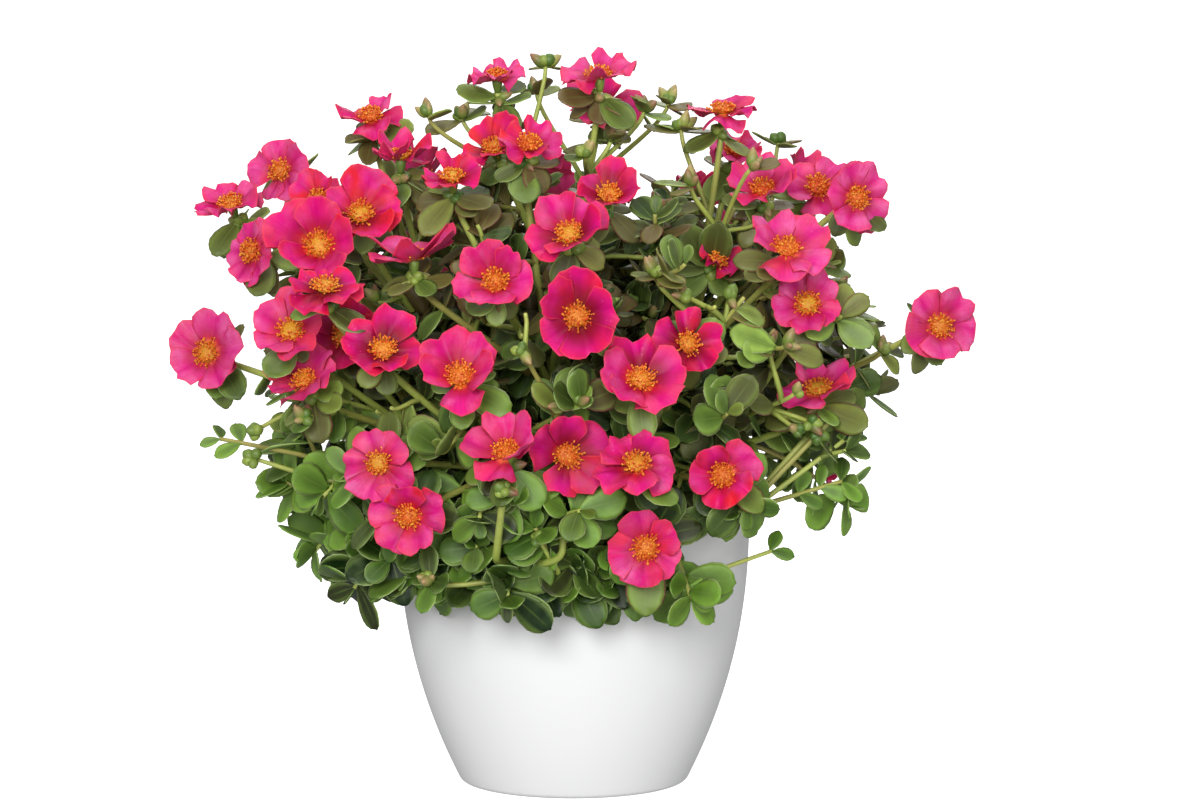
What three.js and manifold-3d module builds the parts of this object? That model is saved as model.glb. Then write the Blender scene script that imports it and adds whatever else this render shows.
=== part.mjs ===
// A potted portulaca in full flower: a white round pot, its potting soil, thirteen rooted
// shoots and the open flowers that they carry. Millimetres, +Z up, origin at the centre of
// the pot's foot. A bearing is a turn from the front, -Y, towards the right, +X.
import * as THREE from "three";
import { mergeVertices } from "three/addons/utils/BufferGeometryUtils.js";
import Module from "manifold-3d";

const wasm = await Module();
wasm.setup();

// ---- Driving dimensions ----
const POT_HEIGHT = 144;
const RIM_RADIUS = 95;
const BASE_RADIUS = 61;
const WALL = 3.5;
const WALL_CURVE = 2.2; // how quickly the flare of the wall dies out towards the rim
const WALL_LEAN = 27; // degrees from upright, where the wall meets its rounded foot
const FOOT_RADIUS = 58;
const FOOT_CORNER = 5;
const FOOT_WIDTH = 14; // the flat ring that the pot stands on
const FOOT_RECESS = 2;
const FLOOR_TOP = 6;
const FLOOR_CORNER = 4;
const POT_SIDES = 36;
const WALL_STEPS = 6;
const DRAIN_HOLES = 5;
const DRAIN_RADIUS = 4;
const DRAIN_CIRCLE = 28;
const SOIL_EDGE = 129; // height of the soil where it meets the wall
const SOIL_CROWN = 132; // height of the soil in the middle
const GAP = 0.3; // between pieces that touch

const MOUND_WAIST = 232; // height at which the plant is widest
const MOUND_RADIUS = 172;
const MOUND_REACH = 165; // from the waist up to the top, and down to the skirt
const MOUND_SHOULDER = 2.6; // powers that round the mound's outline: 2 and 2 give a circle
const MOUND_CROWN = 2.2;

// Stems: radius, sides of the section and straight stretches along the path.
const MAIN_STEM = { radius: 2.5, sides: 6, steps: 4 };
const STALK = { radius: 1.6, sides: 4, steps: 3 };
const TWIG = { radius: 1.3, sides: 4, steps: 3 };
const LEAF_LENGTH = 22;
const LEAF_WIDTH = 13;
const LEAF_THICKNESS = 1.6;
const LEAF_WIDEST = 0.6; // share of its length at which a leaf is widest
const PETALS = 5;
const CALYX_LENGTH = 7; // from the petals' seat down to the end of the stalk
const CALYX_RADIUS = 1.8;
const EYE_HEIGHT = 0.6; // of the cup's middle above the petals' seat
const PETAL_LIFT = 9; // how far the cup's rim stands above the petals' seat
const PETAL_EDGE = 1.2;
const PETAL_ROOT_RADIUS = 3.2;
const PETAL_NOTCH = 0.8; // radius between two petals, as a share of the flower's

// Flowers of the front half, as sighted from SIGHT: how far across and how high each stands
// on the plane through the pot's axis, how far it stands forward of that plane, the bearing
// and the rise of the way it faces in degrees, and its diameter.
const SIGHT = new THREE.Vector3(14, -1600, 300);
const FLOWERS = [
  [-41, 378, 15, 0, 60, 33],
  [14, 379, 35, 0, 70, 44],
  [14, 362, -30, 0, 35, 40],
  [80, 360, 30, 10, 76, 44],
  [86, 339, -30, 15, 50, 35],
  [-109, 357, 5, -5, 55, 41],
  [-93, 335, 40, 0, 78, 36],
  [-65, 324, 84, 0, 58, 36],
  [-42, 340, 48, -20, 46, 40],
  [-24, 342, 80, 15, 42, 38],
  [-157, 329, -25, -20, 12, 38],
  [-184, 310, 0, -20, 48, 41],
  [-115, 305, 66, 10, 30, 42],
  [-137, 289, 96, -5, 16, 45],
  [-136, 313, 22, -15, 30, 35],
  [-172, 286, 50, -38, 10, 38],
  [-134, 265, 132, 5, 58, 42],
  [-86, 281, 98, 0, 80, 44],
  [-42, 269, 138, 0, 30, 38],
  [-2, 294, 124, -10, 32, 43],
  [19, 315, 84, 5, 42, 42],
  [2, 251, 158, 0, 10, 43],
  [-103, 232, 136, 8, 30, 43],
  [-152, 242, 104, -5, 35, 43],
  [-197, 231, 8, -16, 15, 43],
  [-123, 240, 86, -5, 25, 40],
  [-145, 215, 106, -31, 46, 38],
  [-61, 218, 152, -10, 30, 43],
  [-105, 172, 126, -10, 5, 38],
  [-89, 143, 134, -10, 0, 38],
  [-36, 176, 163, -10, 45, 40],
  [-4, 176, 146, 18, 5, 43],
  [34, 170, 166, 5, 40, 41],
  [81, 165, 128, -10, 10, 39],
  [39, 126, 142, 0, 0, 42],
  [36, 216, 157, 8, 32, 41],
  [61, 236, 128, 15, 15, 37],
  [132, 210, 72, -5, 60, 43],
  [126, 257, 74, 0, 22, 40],
  [114, 286, 82, 10, 45, 44],
  [102, 318, 46, -10, 50, 41],
  [131, 320, 6, 10, 30, 42],
  [152, 315, 38, 15, 10, 41],
  [197, 246, 8, 10, 5, 43],
  [77, 281, 56, 20, 30, 30],
];

const BACK_FLOWERS = 24;
const BACK_DIAMETER = 40;
const BACK_DIAMETER_RANGE = 5;
const BACK_LOWEST = 165; // heights of the lowest and the highest back flower
const BACK_HIGHEST = 335;
const BACK_CROWDING = 0.85; // under 1, the flowers stand closer together towards the top
const BACK_LEVEL_HEIGHT = 130; // a flower here faces level, and higher ones face up
const BACK_RISE_PER_MM = 0.31;
const BACK_LEAST_RISE = 5;
const BACK_MOST_RISE = 75;
const BACK_BEARING_RANGE = 30;
const BACK_RISE_RANGE = 20;
const BACK_SPREAD = 0.7; // share of the half turn behind the plant that they fill
const GOLDEN_TURN = 137.508;

// The way each shoot leans out of the crown: its bearing and its rise.
const LOW_RISE = 24;
const MID_RISE = 56;
const SHOOTS = [
  ...[-22.5, 22.5, 67.5, 112.5, 157.5, -157.5, -112.5, -67.5].map((b) => [b, LOW_RISE]),
  ...[0, 90, 180, -90].map((b) => [b, MID_RISE]),
  [0, 90],
];
const CROWN = new THREE.Vector3(0, 0, SOIL_CROWN - 5);
const PLANTING_RADIUS = 44; // of the ring on which the lowest shoots are rooted
const MAIN_SHARE = 0.42; // how far towards its flowers a main stem runs
const MAIN_LIFT = 18;
const FORKS_FROM = 0.62; // the stretch of a main stem that stalks and twigs fork from
const FORKS_TO = 0.97;
const TWIG_CLIMB = 0.7; // how much more steeply than its shoot a twig sets out
const STEM_EASE = 0.33; // how far along its length a stem keeps the way it sets out
const HANGING_HEIGHT = 165; // sprigs below this height hang outwards over the rim
const UPRIGHT_RISE = 35; // which way a sprig's tip points, in degrees above level
const HANGING_RISE = -50;

// Where leaves stand on a stem, as shares of its length, with their turn round it in degrees.
const STALK_LEAVES = [[0.93, 0], [0.93, 180]];
const TWIG_LEAVES = [[0.97, 0], [0.97, 120], [0.97, 240], [0.7, 60]];
const LEAF_LEAN = 0.55; // how far a leaf leans along its stem

// Room is held as balls, so that leaves of one shoot stay clear of all other pieces.
const LEAF_BALLS = [0.35, 0.6, 0.85]; // shares of a leaf's length
const LEAF_BALL = 5.5;
const STEM_BALLS = 24;
const PETAL_BALLS = 12;
const PETAL_BALL = 4.5;
const CLEARANCE = 0.5;

const SPRIG_HEIGHT_RANGE = 14;

// Leafy sprigs in tiers: how many, their height and the share of the mound's radius.
const SPRIG_TIERS = [
  [10, 118, 1.0],
  [8, 155, 0.93],
  [6, 210, 0.88],
  [4, 270, 0.84],
  [2, 325, 0.8],
];

// The foliage is open at the front right: no sprig hangs below a height between two bearings.
const OPEN_BELOW = 140;
const OPEN_FROM = 40;
const OPEN_TO = 128;

const UP = new THREE.Vector3(0, 0, 1);

const FINISH = {
  pot: { color: 0xf2f2f0, roughness: 0.35 },
  soil: { color: 0x2e2118, roughness: 0.95 },
  shoot: { color: 0x5b8a3a, roughness: 0.5 },
  flower: { color: 0xe5217f, roughness: 0.6 },
};

function material(kind) {
  return new THREE.MeshStandardMaterial({ ...FINISH[kind], metalness: 0 });
}

// ---- Solids ----
function solidOf(geometry) {
  const bare = geometry.clone();
  bare.deleteAttribute("normal");
  bare.deleteAttribute("uv");
  const merged = mergeVertices(bare);
  return new wasm.Manifold(
    new wasm.Mesh({
      numProp: 3,
      vertProperties: new Float32Array(merged.getAttribute("position").array),
      triVerts: new Uint32Array(merged.index.array),
    }),
  );
}

function geometryOf(solid) {
  const mesh = solid.getMesh();
  const geometry = new THREE.BufferGeometry();
  geometry.setAttribute("position", new THREE.BufferAttribute(mesh.vertProperties, 3));
  geometry.setIndex(new THREE.BufferAttribute(mesh.triVerts, 1));
  geometry.computeVertexNormals();
  return geometry;
}

function nodeName(kind, index) {
  return `${kind}_${String(index + 1).padStart(2, "0")}`;
}

function named(name, geometry, kind) {
  const mesh = new THREE.Mesh(geometry, material(kind));
  mesh.name = name;
  return mesh;
}

// A lathe turned about +Z from a profile of [radius, height] that starts and ends on the axis.
function turned(profile) {
  const points = profile.map(([r, z]) => new THREE.Vector2(r, z));
  return new THREE.LatheGeometry(points, POT_SIDES).rotateX(Math.PI / 2);
}

// ---- Directions and repeatable variation ----
function facing(bearing, rise) {
  const b = THREE.MathUtils.degToRad(bearing);
  const e = THREE.MathUtils.degToRad(rise);
  const flat = Math.cos(e);
  return new THREE.Vector3(Math.sin(b) * flat, -Math.cos(b) * flat, Math.sin(e));
}

// A number from 0 to 1 that is always the same for one index and one purpose.
function vary(index, purpose) {
  const wave = Math.sin(index * 12.9898 + purpose * 78.233) * 43758.5453;
  return wave - Math.floor(wave);
}

// A number that is off the middle by up to half a range either way.
function around(middle, range, index, purpose) {
  return middle + range * (vary(index, purpose) - 0.5);
}

function moundRadius(height) {
  const share = Math.abs((height - MOUND_WAIST) / MOUND_REACH);
  const left = Math.max(0, 1 - Math.pow(share, MOUND_SHOULDER));
  return MOUND_RADIUS * Math.pow(left, 1 / MOUND_CROWN);
}

function moundPoint(bearing, height, share) {
  const out = facing(bearing, 0).multiplyScalar(moundRadius(height) * share);
  return out.setZ(height);
}

// ---- Pot ----
function wallRadius(height) {
  const flare = 1 - Math.pow(1 - height / POT_HEIGHT, WALL_CURVE);
  return BASE_RADIUS + (RIM_RADIUS - BASE_RADIUS) * flare;
}

// Points of the wall between two heights, moved inwards by inset.
function wallLine(from, to, steps, inset) {
  return Array.from({ length: steps + 1 }, (_, i) => {
    const z = from + ((to - from) * i) / steps;
    return [wallRadius(z) - inset, z];
  });
}

function corner(centre, radius, fromDegrees, toDegrees, steps) {
  return Array.from({ length: steps + 1 }, (_, i) => {
    const a = THREE.MathUtils.degToRad(fromDegrees + ((toDegrees - fromDegrees) * i) / steps);
    return [centre[0] + radius * Math.cos(a), centre[1] + radius * Math.sin(a)];
  });
}

function potShell() {
  const ring = FOOT_RADIUS - FOOT_WIDTH;
  const lip = WALL / 2;
  return turned([
    [0, FOOT_RECESS],
    [ring, FOOT_RECESS],
    [ring, 0],
    ...corner([FOOT_RADIUS, FOOT_CORNER], FOOT_CORNER, -90, -WALL_LEAN, 2),
    ...wallLine(FOOT_CORNER + 1, POT_HEIGHT - lip, WALL_STEPS, 0),
    ...corner([RIM_RADIUS - lip, POT_HEIGHT - lip], lip, 45, 135, 1),
    ...wallLine(POT_HEIGHT - lip, FLOOR_TOP + FLOOR_CORNER, WALL_STEPS, WALL),
    [wallRadius(FLOOR_TOP) - WALL - FLOOR_CORNER, FLOOR_TOP],
    [0, FLOOR_TOP],
  ]);
}

function drainHole(index) {
  const deep = 3 * FLOOR_TOP;
  const drill = new THREE.CylinderGeometry(DRAIN_RADIUS, DRAIN_RADIUS, deep, 12);
  const place = facing((360 / DRAIN_HOLES) * index, 0).multiplyScalar(DRAIN_CIRCLE);
  return drill.rotateX(Math.PI / 2).translate(place.x, place.y, 0);
}

function potGeometry() {
  const drains = Array.from({ length: DRAIN_HOLES }, (_, index) => solidOf(drainHole(index)));
  return geometryOf(drains.reduce((pot, drain) => pot.subtract(drain), solidOf(potShell())));
}

function soilHeight(radius) {
  const share = Math.min(1, radius / (wallRadius(SOIL_EDGE) - WALL));
  return SOIL_CROWN + (SOIL_EDGE - SOIL_CROWN) * share * share;
}

function soilGeometry() {
  const inset = WALL + 2 * GAP;
  const edge = wallRadius(SOIL_EDGE) - inset;
  const top = [0.75, 0.5, 0.25].map((share) => [edge * share, soilHeight(edge * share)]);
  return turned([
    [0, FLOOR_TOP + GAP],
    [wallRadius(FLOOR_TOP) - inset - FLOOR_CORNER, FLOOR_TOP + GAP],
    ...wallLine(FLOOR_TOP + FLOOR_CORNER + GAP, SOIL_EDGE, WALL_STEPS, inset),
    ...top,
    [0, SOIL_CROWN],
  ]);
}

// ---- Flowers and leaves ----
// A shallow cup of five petals on its calyx: the petals' seat is at the origin, facing +Z.
function flowerGeometry(diameter) {
  const rim = diameter / 2;
  const rings = [
    [CALYX_RADIUS, -CALYX_LENGTH],
    [PETAL_ROOT_RADIUS, -PETAL_EDGE],
    [rim, PETAL_LIFT - PETAL_EDGE],
    [rim, PETAL_LIFT],
  ];
  const top = rings.length - 1;
  const cup = new THREE.CylinderGeometry(1, 1, top, 2 * PETALS, top).rotateX(Math.PI / 2);
  const at = cup.getAttribute("position");
  for (let i = 0; i < at.count; i++) {
    const [x, y] = [at.getX(i), at.getY(i)];
    const ring = Math.round(at.getZ(i) + top / 2);
    const [radius, height] = rings[ring];
    const spoke = Math.round((Math.atan2(x, y) * PETALS) / Math.PI);
    const notch = spoke % 2 !== 0 && radius === rim ? PETAL_NOTCH : 1;
    const middle = ring === top && Math.hypot(x, y) < 0.5;
    at.setXYZ(i, x * radius * notch, y * radius * notch, middle ? EYE_HEIGHT : height);
  }
  return cup;
}

// A thick blade from the origin along +X, widest past its middle, lying in the XY plane.
function leafGeometry() {
  const blade = new THREE.OctahedronGeometry(1, 0);
  const at = blade.getAttribute("position");
  for (let i = 0; i < at.count; i++) {
    const along = Math.abs(at.getX(i)) > 0.5 ? (at.getX(i) + 1) / 2 : LEAF_WIDEST;
    const side = (at.getY(i) * LEAF_WIDTH) / 2;
    at.setXYZ(i, along * LEAF_LENGTH, side, (at.getZ(i) * LEAF_THICKNESS) / 2);
  }
  return blade;
}

// The turn that lays a blade's +X along a direction with its face as near to up as it can be.
function bladeTurn(along, up) {
  const side = new THREE.Vector3().crossVectors(up, along).normalize();
  const face = new THREE.Vector3().crossVectors(along, side).normalize();
  return new THREE.Matrix4().makeBasis(along, side, face);
}

function stemGeometry({ curve, radius, sides, steps }) {
  const section = Array.from({ length: sides }, (_, i) => {
    const a = (i * 2 * Math.PI) / sides;
    return new THREE.Vector2(radius * Math.cos(a), radius * Math.sin(a));
  });
  return new THREE.ExtrudeGeometry(new THREE.Shape(section), {
    steps,
    extrudePath: curve,
    bevelEnabled: false,
  });
}

// The point at a share of a stem's length, on the straight stretches that it is built of.
function onStem({ curve, steps }, share) {
  const stretch = Math.min(Math.floor(share * steps), steps - 1);
  const start = curve.getPointAt(stretch / steps);
  const end = curve.getPointAt((stretch + 1) / steps);
  return start.lerp(end, share * steps - stretch);
}

// ---- Where things grow ----
function sighted(across, height, forward) {
  const onPlane = new THREE.Vector3(across, 0, height);
  return onPlane.lerp(SIGHT, forward / -SIGHT.y);
}

function backFlower(index) {
  const bearing = 180 + (((index * GOLDEN_TURN) % 180) - 90) * BACK_SPREAD;
  const share = Math.pow((index + 0.5) / BACK_FLOWERS, BACK_CROWDING);
  const height = THREE.MathUtils.lerp(BACK_LOWEST, BACK_HIGHEST, share);
  const lean = (height - BACK_LEVEL_HEIGHT) * BACK_RISE_PER_MM;
  const rise = THREE.MathUtils.clamp(lean, BACK_LEAST_RISE, BACK_MOST_RISE);
  return {
    seat: moundPoint(bearing, height, around(0.97, 0.06, index, 1)),
    face: facing(
      around(bearing, BACK_BEARING_RANGE, index, 2),
      around(rise, BACK_RISE_RANGE, index, 3),
    ),
    diameter: around(BACK_DIAMETER, BACK_DIAMETER_RANGE, index, 4),
  };
}

const shoots = SHOOTS.map(([bearing, rise], index) => {
  const out = PLANTING_RADIUS * Math.cos(THREE.MathUtils.degToRad(rise));
  const root = facing(bearing, 0).multiplyScalar(out).setZ(soilHeight(out) + GAP);
  return { name: nodeName("shoot", index), lean: facing(bearing, rise), root, flowers: [], sprigs: [] };
});

function shootFor(point) {
  const way = point.clone().sub(CROWN).normalize();
  return shoots.reduce((best, shoot) => (shoot.lean.dot(way) > best.lean.dot(way) ? shoot : best));
}

const frontFlowers = FLOWERS.map(([across, height, forward, bearing, rise, diameter], index) => ({
  name: nodeName("flower", index),
  seat: sighted(across, height, forward),
  face: facing(bearing, rise),
  diameter,
}));
const backFlowers = Array.from({ length: BACK_FLOWERS }, (_, index) => backFlower(index));
const flowers = [...frontFlowers, ...backFlowers];
for (const flower of flowers) {
  flower.shoot = shootFor(flower.seat);
  flower.shoot.flowers.push(flower);
}

function isInTheOpening(bearing, height) {
  const turn = THREE.MathUtils.euclideanModulo(bearing, 360);
  return height < OPEN_BELOW && turn > OPEN_FROM && turn < OPEN_TO;
}

let sprigCount = 0;
for (const [count, height, share] of SPRIG_TIERS) {
  for (let i = 0; i < count; i++) {
    const bearing = ((i + 0.5 * vary(sprigCount, 5)) * 360) / count + height;
    const tip = moundPoint(bearing, around(height, SPRIG_HEIGHT_RANGE, sprigCount, 6), share);
    if (!isInTheOpening(bearing, height)) shootFor(tip).sprigs.push({ tip, turn: sprigCount });
    sprigCount += 1;
  }
}

// The path of a stem from one point to another, leaving and arriving the given ways.
function stemPath(from, leaving, to, arriving) {
  const reach = from.distanceTo(to) * STEM_EASE;
  return new THREE.CubicBezierCurve3(
    from,
    from.clone().addScaledVector(leaving, reach),
    to.clone().addScaledVector(arriving, -reach),
    to,
  );
}

// A front flower is a node of its own, so its stalk ends a gap below it. A back flower is
// part of its shoot, so its stalk runs on into it.
function stalkEnd(flower) {
  const below = flower.name ? CALYX_LENGTH + GAP : CALYX_LENGTH - 1;
  return flower.seat.clone().addScaledVector(flower.face, -below);
}

function sprigWay(sprig) {
  const rise = sprig.tip.z > HANGING_HEIGHT ? UPRIGHT_RISE : HANGING_RISE;
  return facing(THREE.MathUtils.radToDeg(Math.atan2(sprig.tip.x, -sprig.tip.y)), rise);
}

// One main stem out of the soil, then along its upper part a stalk to each flower and a
// twig to each sprig.
function growStems(shoot) {
  const tips = [...shoot.flowers.map((f) => f.seat), ...shoot.sprigs.map((s) => s.tip)];
  const middle = tips.reduce((sum, tip) => sum.add(tip), new THREE.Vector3()).divideScalar(tips.length);
  const onward = middle.clone().sub(shoot.root).normalize();
  const climbing = onward.clone().addScaledVector(UP, TWIG_CLIMB).normalize();
  const head = shoot.root.clone().lerp(middle, MAIN_SHARE).addScaledVector(UP, MAIN_LIFT);
  const main = { ...MAIN_STEM, curve: stemPath(shoot.root, UP, head, onward) };
  const fork = (index) => onStem(main, FORKS_FROM + (FORKS_TO - FORKS_FROM) * (index / tips.length));
  shoot.flowers.forEach((flower, i) => {
    flower.stem = { ...STALK, curve: stemPath(fork(i), onward, stalkEnd(flower), flower.face) };
  });
  shoot.sprigs.forEach((sprig, i) => {
    const from = fork(shoot.flowers.length + i);
    sprig.stem = { ...TWIG, curve: stemPath(from, climbing, sprig.tip, sprigWay(sprig)) };
  });
  shoot.stems = [main, ...shoot.flowers.map((f) => f.stem), ...shoot.sprigs.map((s) => s.stem)];
}

// ---- Room: what each piece takes up, as balls, so that leaves stay clear of other pieces ----
const taken = [];

function takeFlower(flower) {
  const owner = flower.name ?? flower.shoot.name;
  const turn = new THREE.Quaternion().setFromUnitVectors(UP, flower.face);
  taken.push({ owner, centre: flower.seat, radius: PETAL_BALL });
  for (let i = 0; i < PETAL_BALLS; i++) {
    const edge = facing((i * 360) / PETAL_BALLS, 0).multiplyScalar(flower.diameter / 2 - PETAL_BALL);
    edge.setZ(PETAL_LIFT).applyQuaternion(turn).add(flower.seat);
    taken.push({ owner, centre: edge, radius: PETAL_BALL });
    taken.push({ owner, centre: edge.clone().lerp(flower.seat, 0.5), radius: PETAL_BALL });
  }
}

function takeStems(shoot) {
  for (const stem of shoot.stems) {
    for (let i = 0; i <= STEM_BALLS; i++) {
      taken.push({ owner: shoot.name, centre: onStem(stem, i / STEM_BALLS), radius: stem.radius });
    }
  }
}

// Over the rim, outside the wall, or over the soil.
function clearOfPot(centre) {
  const room = LEAF_BALL + 2 * CLEARANCE;
  const out = Math.hypot(centre.x, centre.y);
  const overRim = centre.z > POT_HEIGHT + room;
  const outside = out > wallRadius(Math.min(centre.z, POT_HEIGHT)) + room;
  const overSoil = out < RIM_RADIUS - 2 * WALL - room && centre.z > SOIL_CROWN + room;
  return overRim || outside || overSoil;
}

function clearOfOthers(owner, centre) {
  const room = LEAF_BALL + CLEARANCE;
  return taken.every(
    (ball) => ball.owner === owner || ball.centre.distanceTo(centre) > ball.radius + room,
  );
}

// A leaf at a share of a stem's length, turned round the stem, if there is room for it.
function leafOn(shoot, stem, share, turn) {
  const base = onStem(stem, share);
  const along = stem.curve.getTangentAt(share);
  const side = new THREE.Vector3().crossVectors(along, UP).normalize();
  const way = side.applyAxisAngle(along, turn).addScaledVector(along, LEAF_LEAN).normalize();
  const centres = LEAF_BALLS.map((part) => base.clone().addScaledVector(way, LEAF_LENGTH * part));
  if (!centres.every((at) => clearOfOthers(shoot.name, at) && clearOfPot(at))) return [];
  taken.push(...centres.map((centre) => ({ owner: shoot.name, centre, radius: LEAF_BALL })));
  return [leafGeometry().applyMatrix4(bladeTurn(way, along).setPosition(base))];
}

function leavesOf(shoot) {
  const grow = (stem, places, turn) =>
    places.flatMap(([share, round]) =>
      leafOn(shoot, stem, share, THREE.MathUtils.degToRad(round) + turn),
    );
  return [
    ...shoot.flowers.flatMap((flower, i) => grow(flower.stem, STALK_LEAVES, i)),
    ...shoot.sprigs.flatMap((sprig) => grow(sprig.stem, TWIG_LEAVES, sprig.turn)),
  ];
}

// ---- Assembly ----
function placedFlower(flower) {
  const turn = new THREE.Quaternion().setFromUnitVectors(UP, flower.face);
  const { x, y, z } = flower.seat;
  return flowerGeometry(flower.diameter).applyQuaternion(turn).translate(x, y, z);
}

function shootMesh(shoot) {
  const ownFlowers = shoot.flowers.filter((flower) => !flower.name);
  const pieces = [
    ...shoot.stems.map(stemGeometry),
    ...ownFlowers.map(placedFlower),
    ...leavesOf(shoot),
  ];
  const whole = pieces.map(solidOf).reduce((sum, piece) => sum.add(piece));
  return named(shoot.name, geometryOf(whole), "shoot");
}

function flowerMesh(flower) {
  const mesh = named(flower.name, flowerGeometry(flower.diameter), "flower");
  mesh.quaternion.setFromUnitVectors(UP, flower.face);
  mesh.position.copy(flower.seat);
  return mesh;
}

shoots.forEach(growStems);
shoots.forEach(takeStems);
flowers.forEach(takeFlower);

const plant = new THREE.Group();
plant.add(...shoots.map(shootMesh), ...frontFlowers.map(flowerMesh));

const portulaca = new THREE.Group();
portulaca.add(named("pot", potGeometry(), "pot"), named("potting_soil", soilGeometry(), "soil"));
portulaca.add(plant);

export default portulaca;
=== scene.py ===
# A potted portulaca in full flower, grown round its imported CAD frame: a smooth white pot, its
# grainy soil, thirteen shoots with their stems, leaves, buds and seed capsules, and the open
# flowers. Metres, +Z up, origin at the centre of the pot's foot. A bearing is a turn from the
# front, -Y, towards the right, +X, and a rise is a turn up from level, both in degrees.
import functools
import math

import bpy
import numpy as np
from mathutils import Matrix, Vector, noise


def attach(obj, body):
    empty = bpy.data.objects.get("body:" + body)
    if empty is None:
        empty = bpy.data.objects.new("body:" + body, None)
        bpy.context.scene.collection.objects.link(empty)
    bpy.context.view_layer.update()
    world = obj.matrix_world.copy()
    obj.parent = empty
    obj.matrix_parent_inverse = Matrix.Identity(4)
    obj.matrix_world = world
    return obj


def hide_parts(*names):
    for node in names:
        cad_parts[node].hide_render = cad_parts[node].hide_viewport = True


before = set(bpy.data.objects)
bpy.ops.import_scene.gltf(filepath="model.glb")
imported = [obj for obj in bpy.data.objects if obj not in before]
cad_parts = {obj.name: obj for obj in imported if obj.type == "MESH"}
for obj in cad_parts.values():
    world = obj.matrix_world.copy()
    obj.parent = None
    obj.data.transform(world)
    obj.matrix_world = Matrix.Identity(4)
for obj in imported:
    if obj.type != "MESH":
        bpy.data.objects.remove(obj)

MM = 0.001
UP = np.array([0.0, 0.0, 1.0])
GOLDEN_TURN = 137.508

# ---- Camera and light ----
EYE = (14.2 * MM, -1600 * MM, 300 * MM)
PITCH_DOWN = 3.36
LENS = 89.0
BACKDROP_WIDTH = 16.0
BACKDROP_FRONT = -9.0
BACKDROP_BACK = 3.0
BACKDROP_BEND = 1.6
BACKDROP_TOP = 6.0
BACKDROP_GLOW = 0.97
SKY_STRENGTH = 0.37
# Soft boxes: name, place, what it aims at, width, power in watts.
SOFT_BOXES = [
    ("key_light", (-0.45, -2.4, 0.95), (0, 0, 0.2), 0.9, 40.0),
    ("fill_light", (0.7, -2.4, 0.25), (0, 0, 0.2), 1.2, 21.5),
    ("top_light", (0.1, 0.2, 2.2), (0, 0, 0.3), 1.4, 16.0),
    ("back_light", (0.5, 2.3, 1.7), (0, 0, 0.2), 1.2, 14.0),
]

# ---- Pot and soil, as in the CAD model ----
POT_HEIGHT = 144 * MM
RIM_RADIUS = 95 * MM
BASE_RADIUS = 61 * MM
WALL = 3.5 * MM
WALL_CURVE = 2.2
WALL_LEAN = 27
FOOT_RADIUS = 58 * MM
FOOT_CORNER = 5 * MM
FOOT_WIDTH = 14 * MM
FOOT_RECESS = 2 * MM
FLOOR_TOP = 6 * MM
FLOOR_CORNER = 4 * MM
DRAIN_HOLES = 5
DRAIN_RADIUS = 4 * MM
DRAIN_CIRCLE = 28 * MM
POT_SIDES = 144
SOIL_EDGE = 129 * MM
SOIL_CROWN = 132 * MM
SOIL_RINGS = 42
SOIL_SIDES = 110
SOIL_GRAIN = 1.6 * MM  # how high its grains stand
COARSE_GRAIN = 6 * MM
FINE_GRAIN = 2.2 * MM
SOIL_LUMPS = 200
LUMP_SIZES = (2, 5.5)
GAP = 0.3 * MM

# ---- The mound of the plant, as in the CAD model ----
MOUND_WAIST = 232 * MM
MOUND_RADIUS = 172 * MM
MOUND_REACH = 165 * MM
MOUND_SHOULDER = 2.6
MOUND_CROWN = 2.2
SIGHT = np.array([14.0, -1600.0, 300.0]) * MM
FRONT_FLOWERS = 45
BACK_FLOWERS = 24
BACK_DIAMETER = 40 * MM
BACK_DIAMETER_RANGE = 5 * MM
BACK_LOWEST = 165 * MM
BACK_HIGHEST = 335 * MM
BACK_CROWDING = 0.85
BACK_LEVEL_HEIGHT = 130 * MM
BACK_RISE_PER_MM = 0.31
BACK_LEAST_RISE = 5
BACK_MOST_RISE = 75
BACK_BEARING_RANGE = 30
BACK_RISE_RANGE = 20
BACK_SPREAD = 0.7

# ---- Shoots, as in the CAD model ----
LOW_RISE = 24
MID_RISE = 56
SHOOTS = (
    [(b, LOW_RISE) for b in (-22.5, 22.5, 67.5, 112.5, 157.5, -157.5, -112.5, -67.5)]
    + [(b, MID_RISE) for b in (0, 90, 180, -90)]
    + [(0, 90)]
)
CROWN = np.array([0, 0, SOIL_CROWN - 5 * MM])
PLANTING_RADIUS = 44 * MM
MAIN_SHARE = 0.42
MAIN_LIFT = 18 * MM
FORKS_FROM = 0.62
FORKS_TO = 0.97
TWIG_CLIMB = 0.7
STEM_EASE = 0.33
LONGEST_TURN = 17 * MM  # how far below its flower a stalk starts to turn towards it
HANGING_HEIGHT = 165 * MM
UPRIGHT_RISE = 35
HANGING_RISE = -50
SPRIG_HEIGHT_RANGE = 14 * MM
SPRIG_TIERS = [
    (10, 118 * MM, 1.0),
    (8, 155 * MM, 0.93),
    (6, 210 * MM, 0.88),
    (4, 270 * MM, 0.84),
    (2, 325 * MM, 0.8),
]
OPEN_BELOW = 140 * MM  # no sprig hangs below this height between these two bearings
OPEN_FROM = 40
OPEN_TO = 128
MAIN_RADII = (3.4 * MM, 2.4 * MM)
STALK_RADII = (2.1 * MM, 1.6 * MM)
TWIG_RADII = (1.6 * MM, 1.1 * MM)
STEM_POINTS = 13
STEM_SIDES = {
    "main": 10, "stalk": 8, "sprig": 6, "twig": 5, "inner": 4, "head": 7, "bunch": 6, "trailer": 7,
}

# ---- More leafy twigs than the CAD model has room for ----
# The leafy dome is flatter than the mound: flowers and bud heads stand above it.
DOME_WAIST = 222 * MM
DOME_RADIUS = 163 * MM
DOME_UP = 106 * MM
DOME_DOWN = 140 * MM
DOME_SHOULDER = 2.5
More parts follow.
